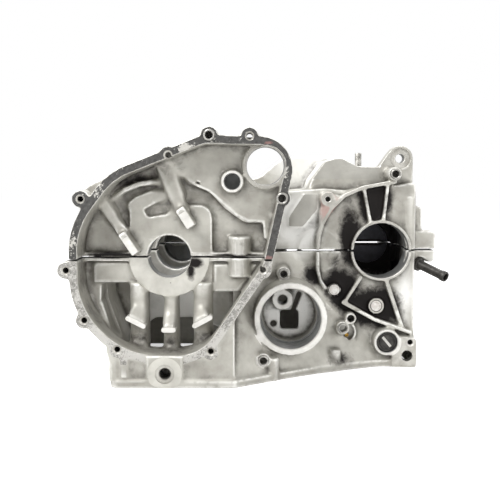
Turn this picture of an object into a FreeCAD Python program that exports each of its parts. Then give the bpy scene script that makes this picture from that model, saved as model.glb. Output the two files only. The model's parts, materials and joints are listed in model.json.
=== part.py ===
"""Horizontally split crankcase of a small parallel-twin motorcycle engine, in millimetres.

X runs rearwards, Y from the magneto side to the clutch side and Z up. The origin is on the
crankshaft axis, in the joint plane, at the magneto side of the first main bearing web.
"""
import FreeCAD
import Part
import math
import os
import re

SIZES = {
    # Joint between the two castings, and the oil pan face below the crankshaft
    "joint_gap": 0.8,
    "pan_drop": 120,
    "pan_flange_height": 7,
    # Levels along the crankshaft
    "magneto_face": -32,
    "shallow_floor": -4,
    "deep_floor": 6,
    "floor_thickness": 6,
    "near_web_end": 24,
    "middle_web_start": 74,
    "middle_web_end": 96,
    "far_web_start": 148,
    "far_web_end": 172,
    "blind_wall": 5,
    "clutch_face": 205,
    "sprocket_face": 60,
    "side_wall": 68,
    "side_wall_thickness": 7,
    "far_wall_start": 160,
    # Walls and flanges
    "case_wall": 6,
    "magneto_band": 8,
    "clutch_band": 10,
    "rim_wall": 3.6,
    # Crankshaft and cylinders
    "main_bore": 20.5,
    "crank_chamber": 66,
    "deck_tilt": 27,
    "deck_distance": 96,
    "deck_front": 45,
    "deck_rear": 38,
    "deck_start": 8,
    "cylinder_bore": 31,
    "cylinder_near": 46,
    "cylinder_far": 122,
    "deck_stud_hole": 4.2,
    "deck_stud_depth": 22,
    "main_bolt_hole": 4.2,
    "main_bolt_depth": 34,
    # Magneto chamber
    "magneto_ear": 8,
    "magneto_ear_depth": 26,
    "cover_screw_hole": 2.7,
    "cover_screw_depth": 18,
    "pad_radius": 39,
    "rib_face": -20,
    "ridge_face": -9,
    "leg_face": 2.5,
    "leg_pad_face": -14,
    "leg_pad_reach": 66,
    "idler_bore": 7.3,
    "idler_boss": 10.7,
    "idler_face": -12,
    "idler_depth": 24,
    "starter_hole": 17.9,
    "starter_collar": 22,
    "starter_collar_end": 20,
    "joint_post": 11,
    "joint_post_height": 19.5,
    # Sump block under the magneto chamber
    "block_front": -30,
    "gallery_pad_face": -33,
    "gallery_pad": 16.8,
    "gallery_ring": 8.9,
    "gallery_hole": 5.3,
    "gallery_depth": 24,
    # Oil pump chamber
    "pump_face": 0,
    "pump_outer": 35.5,
    "pump_bore": 29.4,
    "pump_seat_depth": 30,
    "pump_inner_bore": 27.4,
    "pump_floor": 45,
    "pump_floor_thickness": 6,
    "pump_shaft_boss": 10.6,
    "pump_shaft_hole": 4.8,
    "pump_shaft_boss_height": 14,
    "pump_oil_bore": 3.2,
    # Gearbox bearings
    "output_axis": 213.2,
    "output_bore": 28.5,
    "output_ring": 31.4,
    "output_far_bore": 23.5,
    "input_axis": 149.9,
    "input_boss": 22.8,
    "input_bore": 17.5,
    "input_far_bore": 31,
    "bearing_boss_end": 92,
    # Small bosses
    "dowel_boss": 6.8,
    "dowel_outer": 5,
    "dowel_bore": 3.6,
    "dowel_length": 14,
    "dowel_stand": 3,
    "dowel_clearance": 0.02,
    "small_boss": 5.7,
    "plug_boss": 13.7,
    "plug_bore": 10.8,
    "plug_depth": 11,
    "plug_recess": 4,
    "plug_slot_width": 2.6,
    "plug_slot_depth": 2,
    "gallery_plug": 5.6,
    "gallery_plug_length": 8,
    "gallery_plug_boss": 8.6,
    "gallery_boss_stand": 5,
    "pocket_boss": 12,
    "jet_radius": 1.8,
    "jet_length": 9,
    "jet_bore": 0.6,
    "pan_screw_hole": 2.6,
    "pan_screw_depth": 14,
    "pan_boss": 6,
    "pan_boss_height": 22,
    # Rear end
    "mount_ear_start": 80,
    "mount_ear_thickness": 18,
    "mount_hole": 4.7,
    "mount_recess": 10.5,
    "mount_recess_depth": 3,
    "rear_lug_start": 76,
    "rear_lug_width": 18,
    "rear_lug_hole": 3.3,
    "nipple_outer": 5.5,
    "nipple_bore": 3.6,
    "nipple_collar": 7.4,
    "nipple_length": 51,
    "nipple_boss": 9.2,
    "nipple_seat": 12,
    # Joint dowels and the deck stud
    "joint_dowel_outer": 6,
    "joint_dowel_bore": 4.4,
    "joint_dowel_length": 16,
    "joint_boss": 10,
    "joint_boss_height": 20,
    "joint_screw_hole": 3.3,
    "stud_radius": 4,
    "stud_length": 24,
    "stud_seat": 79,
}

PAN = -SIZES["pan_drop"]
ALONG_Y = FreeCAD.Rotation(FreeCAD.Vector(1, 0, 0), -90)
UPRIGHT = FreeCAD.Rotation(FreeCAD.Vector(1, 0, 0), 90)
SIZE_NAME = re.compile(r"[a-z_]+")

# Outlines seen from the magneto side: corners (x, z, corner radius)
MAGNETO_RING = [
    (-85.5, 30, 70), (-50, 77, 60), (35, 110.5, 25), (113.5, 108.5, 26), (112, 78, 30),
    (93.5, -5, 12), (33.2, -93.5, 45), (-40, -92.5, 73), (-85.5, -46, 73),
]
DEEP_FLOOR = [
    (-100, -110, 0), (-100, 100, 0), (2, 100, 0), (4, 78, 8), (31, 71, 16), (54, 46, 18),
    (72, 33, 12), (92, 33, 5), (93.5, 20, 0), (110, 10, 0), (110, -110, 0),
]
CLUTCH_RING = [
    (-62, 34, 30), (-24, 62, 40), (52, 60, 24), (92, 72, 18), (116, 93, 22), (176, 95, 60),
    (232, 66, 50), (238, -30, 60), (198, -92, 60), (96, -98, 60), (-10, -72, 70), (-64, -36, 30),
]
GEARBOX_TOP = [
    (58, -20, 0), (58, 58, 4), (118, 61, 8), (154, 64, 12), (177, 62, 8), (196, 66, 8),
    (221, 66, 4), (249.3, 70.8, 4), (249.3, -20, 0),
]
DOME = [
    (134, 50, 0), (142, 73, 14), (156, 92, 9), (172, 96.5, 14), (190, 87, 12),
    (213, 86.5, 10), (226, 72, 6), (236, 50, 0),
]
SUMP_BLOCK = [(-57, PAN + 36, 6), (-49, PAN, 5), (63, PAN, 0), (63, -40, 0), (-40, -40, 0)]
CRANK_SIDES_LOW = [
    (-76, 2, 0), (-70, -46, 24), (-55, PAN + 26, 14), (-52, PAN, 0), (66, PAN, 0), (68, 2, 0),
]
CRANK_BAY_LOW = [
    (-68, 3, 0), (-63, -44, 0), (-46, PAN + 28, 0), (-44, PAN - 1, 0), (60, PAN - 1, 0), (61, 3, 0),
]
SUMP_PASSAGE = [
    (-44, PAN - 1, 0), (-45, PAN + 32, 0), (-22, PAN + 48, 0), (22, PAN + 48, 0), (60, PAN + 30, 0), (60, PAN - 1, 0),
]
FRONT_SUMP = [(-42, PAN - 1, 0), (-46, PAN + 18, 0), (56, PAN + 18, 0), (56, PAN - 1, 0)]
BEARING_PAD = [(-37.6, -2, 0), (-37.6, 49.6, 7), (41, 49.6, 12), (41, -2, 0)]
ISLAND = [
    (-42, 49, 4), (-32, 57, 0), (-17, 63, 0), (-2, 64, 4), (-3, 53, 0), (-18, 48.6, 0), (-33, 40, 4),
]
ISLAND_POCKET = [(-24, 45, 0), (-8.5, 53, 0), (4, 48, 0), (-2, 41, 0), (-20, 38, 0)]
WINDOWS = {
    "window_front": [(-66, -26, 0), (-39, -26, 0), (-37, -88, 0), (-52, -80, 0), (-68, -58, 0)],
    "window_left": [(-22, -30, 0), (-4.5, -30, 0), (-6, -90, 0), (-22, -89, 0)],
    "window_right": [(7, -30, 0), (23.5, -30, 0), (23.5, -87, 0), (8, -90, 0)],
    "window_rear": [(39, -34, 0), (72, -34, 0), (62, -52, 0), (39, -83, 0)],
}
LEGS = {
    "leg_front": [(-38, -3, 0), (-21.5, -3, 0), (-21.5, -93, 0), (-40, -90, 0), (-38, -60, 8)],
    "leg_middle": [(-5, -30, 0), (7.5, -30, 0), (8.5, -94, 0), (-7, -94, 0)],
    "leg_rear": [(23, -3, 0), (41, -3, 0), (41, -86, 0), (23, -92, 0)],
}
LEG_PADS = {"front": (-27, 20), "middle": (0, 13), "rear": (27, 19)}
RIM_PATH = [
    (156, -40), (150.6, -31.8), (147.7, -20.6), (147.5, -1.2), (148.7, 15.5), (152.7, 29.3),
    (161, 43.1), (174.6, 56.9), (193.7, 65.1), (215.5, 69.1), (228, 71),
]
STEP_BEAD = [(17.4, 72.4), (37.6, 64.1), (45.3, 58.5), (65.6, 40.8), (75.7, 35.7), (90.9, 34.4), (92.2, 17.9)]
SHELVES = {
    "shelf_front": [(-73, -6, 4), (-73, -25, 0), (-39, -25, 0), (-39, -6, 0)],
    "shelf_rear": [(43, -7.5, 0), (43, -34, 0), (66, -34, 0), (84, -7.5, 0)],
}
FRAME_WEB = [(149.5, 41, 0), (149.5, 26, 0), (172, 56, 0), (157, 60, 0)]
FAR_PANEL = [(117.4, 34, 0), (133, 58, 0), (147.8, 58, 0), (147.9, 43.4, 0), (132.3, 24.5, 0), (117.5, 24.5, 0)]
REAR_LUG_LOW = [
    (224, PAN + 10, 4), (231, PAN + 32, 6), (249.4, PAN + 30, 4), (249.6, PAN + 3, 3), (247, PAN, 1), (224, PAN, 1),
]
MOUNT_EAR = [(212, 86, 0), (221, 99, 2), (229, 108.6, 10), (248, 108.6, 13), (248.3, 66, 0), (222, 66, 0)]
PUMP_WINDOW = [(108, -59, 0), (127, -59, 0), (127, -79, 0), (108, -79, 0)]
PUMP_SLOT = [(119, -60, 0), (123.5, -60, 0), (130.5, -42, 0), (126, -39, 0)]

# Round places seen from the magneto side: (x, z)
MAGNETO_EARS = {
    "front_top": (-77.6, 56.1), "top_left": (2.9, 96.1), "top_dowel": (40.2, 114.1),
    "top_right": (77.0, 113.2), "rear_dowel": (106.6, 56.8), "rear_joint": (89.4, -9.1),
    "bottom_right": (40.9, -85.4), "bottom_left": (-46.0, -83.5), "front_low": (-76.3, -56.2),
    "front_joint": (-92.4, -9.6),
}
UPPER_EARS = ["front_top", "top_left", "top_dowel", "top_right", "rear_dowel"]
DOWEL_EARS = ["top_dowel", "rear_dowel"]
CLUTCH_SCREWS_UPPER = [(-50, 44), (52, 60), (116, 90), (222, 60)]
CLUTCH_SCREWS_LOWER = [(232, -24), (196, -84), (60, -91), (-50, -47)]
IDLER = (60.7, 71.9)
STARTER = (92.1, 86.5)
GALLERY = (-2.0, PAN + 13.2)
PUMP = (116.8, -60.7)
PUMP_SHAFT = (110.1, -46.4)
PUMP_OIL_HOLE = (101.3, -73.2)
SLOTTED_PLUG = (219.1, PAN + 25.8)
GALLERY_PLUG_REAR = (209.1, -58)
GALLERY_PLUG_FRONT = (165.3, -41)
POCKET_BOSS = (175.6, PAN + 36)
JET = (178.5, PAN + 31.4)
SMALL_BOSS = (181.5, PAN + 50.5)
LUG_SCREW_TOP, LUG_SCREW_BOTTOM = (242.8, PAN + 25.9), (239.6, PAN + 11.9)
MOUNT_EYE = (234.8, 95.3)
FRAME_EAR = (157.5, 53.3)
# Stud in the far side of the gearbox hump, in plan (x, y)
STUD = (200, 150)

# Sprocket-side bosses: place, face level, and the level where the boss runs into the wall
SIDE_BOSSES = {
    "pump_side_dowel": ((90.2, PAN + 20.7), -8, 24),
    "sprocket_dowel_front": ((111, -20.3), 30, 72),
    "sprocket_dowel_bottom": ((172.5, PAN + 41.6), 46, 72),
    "sprocket_dowel_top": ((224.9, 79), 52, 84),
}

# Oil pan face in plan: corners (x, y, corner radius)
PAN_OUTLINE = [
    (-53, -32, 6), (63.5, -33, 3), (107, -2, 40), (155, 28, 60), (212, 53, 30), (249.4, 48, 4),
    (249.4, 178, 8), (-56, 178, 8),
]
GEARBOX_PLAN = [(63, -30, 0), (107, 3, 0), (212, 55, 0), (249.3, 55, 0), (249.3, 172, 0), (63, 172, 0)]
# Straight runs of the leaning wall: start, end, depth half way up, depth at the joint
LEANING_RUNS = [
    ((63, -30), (107, 3), 12, 50),
    ((107, 3), (212, 55), 20, 50),
    ((212, 55), (249.3, 55), 13, 13.5),
]
HALF_WAY = -78
PAN_SCREWS = [
    (99.4, -1.5), (163.5, 37), (241, 57), (241, 170), (96, 171), (-48, 171), (-48, 70), (-46, -24),
]

doc = FreeCAD.newDocument("crankcase")
sheet = doc.addObject("Spreadsheet::Sheet", "sizes")
for row, (size_name, size) in enumerate(SIZES.items(), start=1):
    sheet.set(f"A{row}", size_name)
    sheet.set(f"B{row}", str(size))
    sheet.setAlias(f"B{row}", size_name)
doc.recompute()


def tied(owner, prop, expression):
    """Tie a property to an expression written with the names of the sheet."""
    cells = SIZE_NAME.sub(lambda word: "sizes." * (word.group() in SIZES) + word.group(), expression)
    owner.setExpression(prop, cells)


def flat(corner):
    """Corner (a, b, radius) as a point of a sketch."""
    return FreeCAD.Vector(corner[0], corner[1], 0)


def rounded(before, here, after):
    """Start, middle and end of the tangent arc that rounds one corner."""
    point, radius = flat(here), here[2]
    if radius == 0:
        return point, None, point
    back = (flat(before) - point).normalize()
    ahead = (flat(after) - point).normalize()
    half = back.getAngle(ahead) / 2
    run = radius / math.tan(half)
    inward = (back + ahead).normalize()
    middle = point + inward * (radius / math.sin(half) - radius)
    return point + back * run, middle, point + ahead * run


def draw(sketch, corners):
    """Closed outline of straight sides and tangent arcs in a sketch."""
    count = len(corners)
    arcs = [rounded(corners[i - 1], corners[i], corners[(i + 1) % count]) for i in range(count)]
    for i, (start, middle, end) in enumerate(arcs):
        if middle is not None:
            sketch.addGeometry(Part.Arc(start, middle, end))
        following = arcs[(i + 1) % count][0]
        if end.distanceToPoint(following) > 1e-6:
            sketch.addGeometry(Part.LineSegment(end, following))


def grown(corners, amount):
    """Outline moved outwards by an amount, with its corner radii kept concentric."""
    count = len(corners)
    area = sum(corners[i - 1][0] * corners[i][1] - corners[i][0] * corners[i - 1][1] for i in range(count))
    turn = 1 if area > 0 else -1
    moved = []
    for i, (a, b, radius) in enumerate(corners):
        into = (flat(corners[i]) - flat(corners[i - 1])).normalize()
        out = (flat(corners[(i + 1) % count]) - flat(corners[i])).normalize()
        first = FreeCAD.Vector(into.y, -into.x, 0) * turn
        second = FreeCAD.Vector(out.y, -out.x, 0) * turn
        reach = amount / (1 + first.dot(second))
        corner = flat(corners[i]) + (first + second) * reach
        bulge = turn * (into.x * out.y - into.y * out.x)
        new_radius = radius + amount if bulge > 0 else radius - amount
        moved.append((corner.x, corner.y, max(new_radius, 0) if radius else 0))
    return moved


def strip(path, width):
    """Outline of a rib of one width that follows an open path of points."""
    points = [FreeCAD.Vector(a, b, 0) for a, b in path]
    sides = []
    for i, point in enumerate(points):
        into = (point - points[max(i - 1, 0)] if i else points[1] - point).normalize()
        out = (points[i + 1] - point if i + 1 < len(points) else into).normalize()
        normal = FreeCAD.Vector(-into.y - out.y, into.x + out.x, 0).normalize()
        sides.append(normal * (width / 2 / math.cos(into.getAngle(out) / 2)))
    left = [point + side for point, side in zip(points, sides)]
    right = [point - side for point, side in zip(points, sides)]
    return [(p.x, p.y, 0) for p in left + right[::-1]]


def prism(name, corners, near, far):
    """Outline seen from the magneto side, carried along Y from one level to another."""
    sketch = doc.addObject("Sketcher::SketchObject", name + "_outline")
    sketch.Placement = FreeCAD.Placement(FreeCAD.Vector(), UPRIGHT)
    tied(sketch, "Placement.Base.y", near)
    draw(sketch, corners)
    return extruded(name, sketch, FreeCAD.Vector(0, 1, 0), f"({far}) - ({near})")


def slab(name, corners, bottom, top):
    """Outline in plan, carried upwards from one height to another."""
    sketch = doc.addObject("Sketcher::SketchObject", name + "_outline")
    tied(sketch, "Placement.Base.z", bottom)
    draw(sketch, corners)
    return extruded(name, sketch, FreeCAD.Vector(0, 0, 1), f"({top}) - ({bottom})")


def extruded(name, sketch, direction, length):
    """Solid extrusion of a sketch."""
    solid = doc.addObject("Part::Extrusion", name)
    solid.Base = sketch
    solid.DirMode = "Custom"
    solid.Dir = direction
    solid.Solid = True
    tied(solid, "LengthFwd", length)
    return solid


def bar(name, centre, near, far, radius):
    """Cylinder along Y at a place (x, z)."""
    solid = doc.addObject("Part::Cylinder", name)
    solid.Placement = FreeCAD.Placement(FreeCAD.Vector(centre[0], 0, centre[1]), ALONG_Y)
    tied(solid, "Placement.Base.y", near)
    tied(solid, "Height", f"({far}) - ({near})")
    tied(solid, "Radius", radius)
    return solid


def post(name, centre, bottom, top, radius):
    """Upright cylinder at a place (x, y)."""
    solid = doc.addObject("Part::Cylinder", name)
    solid.Placement.Base = FreeCAD.Vector(centre[0], centre[1], 0)
    tied(solid, "Placement.Base.z", bottom)
    tied(solid, "Height", f"({top}) - ({bottom})")
    tied(solid, "Radius", radius)
    return solid


def joined(name, solids):
    """Solids fused into one."""
    if len(solids) == 1:
        return solids[0]
    union = doc.addObject("Part::MultiFuse", name)
    union.Refine = False
    union.Shapes = solids
    return union


def without(name, solid, tools):
    """Solid less the tools."""
    cut = doc.addObject("Part::Cut", name)
    cut.Refine = False
    cut.Base = solid
    cut.Tool = joined(name + "_tools", tools)
    return cut


def shared(name, first, second):
    """What two solids have in common."""
    common = doc.addObject("Part::Common", name)
    common.Base = first
    common.Tool = second
    return common


def magneto_solids():
    """Ring wall and floor of the magneto chamber, on both castings."""
    outer = grown(MAGNETO_RING, SIZES["magneto_band"] / 2)
    return [prism("magneto_wall", outer, "magneto_face", "deep_floor + floor_thickness")]


def magneto_spaces():
    """The chamber has a shallow floor behind the starter gears and a deep one behind the rotor."""
    inner = grown(MAGNETO_RING, -SIZES["magneto_band"] / 2)
    shallow = prism("magneto_space", inner, "magneto_face - 1", "shallow_floor")
    deep_ring = prism("magneto_deep_ring", inner, "shallow_floor - 1", "deep_floor")
    deep_side = prism("magneto_deep_side", DEEP_FLOOR, "shallow_floor - 1", "deep_floor")
    return [shallow, shared("magneto_deep_space", deep_ring, deep_side)]


def deck_corner(across):
    """Corner of the cylinder deck, at a distance across the tilted cylinder axis."""
    tilt = math.radians(SIZES["deck_tilt"])
    rise = SIZES["deck_distance"]
    x = -rise * math.sin(tilt) + across * math.cos(tilt)
    z = rise * math.cos(tilt) + across * math.sin(tilt)
    return x, z


def crank_top():
    """Upper crankcase around the crankshaft, up to the tilted deck."""
    front, rear = deck_corner(-SIZES["deck_front"]), deck_corner(SIZES["deck_rear"])
    corners = [
        (-76, -20, 0), (-76, 22, 10), (*front, 3), (*rear, 3),
        (24, 76, 20), (58, 58, 12), (68, 40, 8), (68, -20, 0),
    ]
    return prism("crank_top", corners, "deck_start", "far_web_end")


def along_cylinder(name, centre_level, radius, bottom, top, across=0):
    """Cylinder square to the deck, from one distance off the crankshaft axis to another."""
    solid = doc.addObject("Part::Cylinder", name)
    tilt = FreeCAD.Rotation(FreeCAD.Vector(0, 1, 0), -SIZES["deck_tilt"])
    start = tilt.multVec(FreeCAD.Vector(across, 0, SIZES[bottom] if bottom in SIZES else bottom))
    solid.Placement = FreeCAD.Placement(start, tilt)
    tied(solid, "Placement.Base.y", centre_level)
    tied(solid, "Height", top)
    tied(solid, "Radius", radius)
    return solid


def cylinder_spaces():
    """Two cylinder openings and the stud holes around them."""
    spaces = []
    reach = SIZES["deck_distance"]
    for place in ("cylinder_near", "cylinder_far"):
        spaces.append(along_cylinder(f"{place}_opening", place, "cylinder_bore", 20, f"{reach}"))
    depth = reach - SIZES["deck_stud_depth"]
    for row_name, row_level in (("first", "cylinder_near - 30"), ("middle", "(cylinder_near + cylinder_far) / 2"),
                                ("last", "cylinder_far + 30")):
        for side in (-36, 30):
            name = f"stud_hole_{row_name}_{'front' if side < 0 else 'rear'}"
            spaces.append(along_cylinder(name, row_level, "deck_stud_hole", depth, f"{reach}", side))
    return spaces


def bay_levels():
    """Levels of the two crank bays between the three main webs."""
    return {"near": ("deep_floor + floor_thickness", "middle_web_start"), "far": ("middle_web_end", "far_web_start")}


def main_bore():
    """Line bore for the main bearings, closed at its far end."""
    return bar("main_line_bore", (0, 0), "deep_floor - 40", "far_web_end - blind_wall", "main_bore")


def lean_cut(name, start, end, half_way, at_joint, shift):
    """What the leaning wall leaves free outside one straight run of the pan outline."""
    along = FreeCAD.Vector(end[0] - start[0], end[1] - start[1], 0).normalize()
    inward = FreeCAD.Vector(-along.y, along.x, 0)
    sketch = doc.addObject("Sketcher::SketchObject", name + "_outline")
    base = FreeCAD.Vector(start[0], start[1], 0) - along * 150
    turn = FreeCAD.Rotation(inward, FreeCAD.Vector(0, 0, 1), along, "ZXY")
    sketch.Placement = FreeCAD.Placement(base, turn)
    foot = PAN + SIZES["pan_flange_height"]
    outside = -260
    draw(sketch, [(shift, foot, 0), (half_way + shift, HALF_WAY, 0), (at_joint + shift, 0, 0),
                  (at_joint + shift, 5, 0), (outside, 5, 0), (outside, foot, 0)])
    return extruded(name, sketch, along, "400")


def leaning_body(name, inset, bottom):
    """Gearbox side of the lower casting: the pan outline carried up, less what lies outside its leaning runs."""
    upright = slab(f"{name}_upright", grown(GEARBOX_PLAN, -inset) if inset else GEARBOX_PLAN, bottom, "1")
    cuts = [
        lean_cut(f"{name}_cut_{i}", start, end, half_way, at_joint, inset)
        for i, (start, end, half_way, at_joint) in enumerate(LEANING_RUNS, start=1)
    ]
    front_and_middle = shared(f"{name}_outside_front", cuts[0], cuts[1])
    outside = shared(f"{name}_outside", front_and_middle, cuts[2])
    return without(name, upright, [outside])


def half_space(name, upper):
    """Everything above or below the joint gap."""
    box = doc.addObject("Part::Box", name)
    box.Placement.Base = FreeCAD.Vector(-300, -200, 0)
    box.Length, box.Width = 800, 800
    box.Height = 300
    tied(box, "Placement.Base.z", "joint_gap / 2" if upper else "-joint_gap / 2 - 300")
    return box


def magneto_ears(names):
    """Screw ears of the magneto cover flange on one casting."""
    return [
        bar(f"magneto_ear_{name}", MAGNETO_EARS[name], "magneto_face",
            "magneto_face + magneto_ear_depth", "magneto_ear")
        for name in names
    ]


def magneto_ear_holes(names):
    """Tapped holes of the ears, wider where a hollow dowel sits."""
    holes = []
    for name in names:
        place = MAGNETO_EARS[name]
        end = "magneto_face + cover_screw_depth"
        if name == "top_right":
            end = "magneto_face + magneto_ear_depth + 1"
        holes.append(bar(f"magneto_screw_{name}", place, "magneto_face - 1", end, "cover_screw_hole"))
        if name in DOWEL_EARS:
            seat_end = "magneto_face + dowel_length - dowel_stand"
            holes.append(bar(f"magneto_seat_{name}", place, "magneto_face - 1", seat_end,
                             "dowel_outer + dowel_clearance"))
    return holes


def clutch_solids():
    """Ring wall of the clutch cover flange, on both castings."""
    return [prism("clutch_wall", grown(CLUTCH_RING, SIZES["clutch_band"] / 2), "far_wall_start", "clutch_face")]


def clutch_spaces():
    """Inside of the clutch chamber, down to its floor."""
    inner = grown(CLUTCH_RING, -SIZES["clutch_band"] / 2)
    return [prism("clutch_space", inner, "far_web_end", "clutch_face + 1")]


def clutch_holes(places, label):
    """Tapped holes in the clutch cover flange."""
    return [
        bar(f"{label}_hole_{i}", place, "clutch_face - cover_screw_depth", "clutch_face + 1", "cover_screw_hole")
        for i, place in enumerate(places, start=1)
    ]


def gearbox_bearing_bosses():
    """Bearing bosses of the output and input shafts, on both castings."""
    output, entry = (SIZES["output_axis"], 0), (SIZES["input_axis"], 0)
    return [
        bar("output_ring_boss", output, "sprocket_face", "bearing_boss_end", "output_ring"),
        bar("input_blind_boss", entry, "side_wall - 1.5", "bearing_boss_end", "input_boss"),
    ]


def gearbox_bores():
    """Bearing seats of the output and input shafts."""
    output, entry = (SIZES["output_axis"], 0), (SIZES["input_axis"], 0)
    return [
        bar("output_seat", output, "sprocket_face - 1", "bearing_boss_end + 1", "output_bore"),
        bar("input_seat", entry, "side_wall + side_wall_thickness", "bearing_boss_end + 1", "input_bore"),
        bar("output_far_seat", output, "far_wall_start - 7", "far_web_end - blind_wall", "output_far_bore"),
        bar("input_far_seat", entry, "far_wall_start - 7", "far_web_end + 1", "input_far_bore"),
    ]


def sprocket_rim():
    """Thin rim that the sprocket cover meets, on both castings."""
    return [prism("sprocket_rim", strip(RIM_PATH, SIZES["rim_wall"]), "sprocket_face", "side_wall + 3")]


def joint_bosses():
    """Outside bosses of the joint screws and of the two joint dowels, on both castings."""
    places = {"front_near": (-76, 44), "front_far": (-76, 122), "middle": (84, 61), "rear_far": (247, 150)}
    bosses = [
        post(f"joint_boss_{name}", place, "-joint_boss_height", "joint_boss_height", "joint_boss")
        for name, place in places.items()
    ]
    bosses.append(post("rear_column", (243, 73), "-9", "56", "7.2"))
    return bosses


JOINT_DOWELS = {"joint_dowel_front": (-78, 122), "joint_dowel_rear": (248, 150)}
JOINT_SCREWS = {"front": (-79, 44), "middle": (84, 61), "column": (243, 73)}


def joint_holes():
    """Dowel seats and screw holes across the joint."""
    holes = []
    for name, place in JOINT_DOWELS.items():
        holes.append(post(f"{name}_seat", place, "-joint_dowel_length / 2 - 0.5",
                          "joint_dowel_length / 2 + 0.5", "joint_dowel_outer + dowel_clearance"))
    for name, place in JOINT_SCREWS.items():
        holes.append(post(f"joint_screw_{name}", place, "-joint_boss_height - 1", "joint_boss_height - 4",
                          "joint_screw_hole"))
    for web, middle in (("near", "near_web_end / 2"), ("far", "(far_web_start + far_web_end) / 2")):
        for side in (-29.5, 31):
            name = f"main_bolt_{web}_{'front' if side < 0 else 'rear'}"
            hole = post(name, (side, 0), "-120", "main_bolt_depth", "main_bolt_hole")
            tied(hole, "Placement.Base.y", middle)
            holes.append(hole)
    return holes


def main_halves():
    """Solids and spaces that the joint plane divides between the two castings."""
    solids = magneto_solids() + clutch_solids()
    spaces = magneto_spaces() + clutch_spaces()
    inner = gearbox_bearing_bosses() + sprocket_rim() + joint_bosses()
    holes = [main_bore()] + gearbox_bores() + joint_holes()
    return solids, spaces, inner, holes


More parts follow.
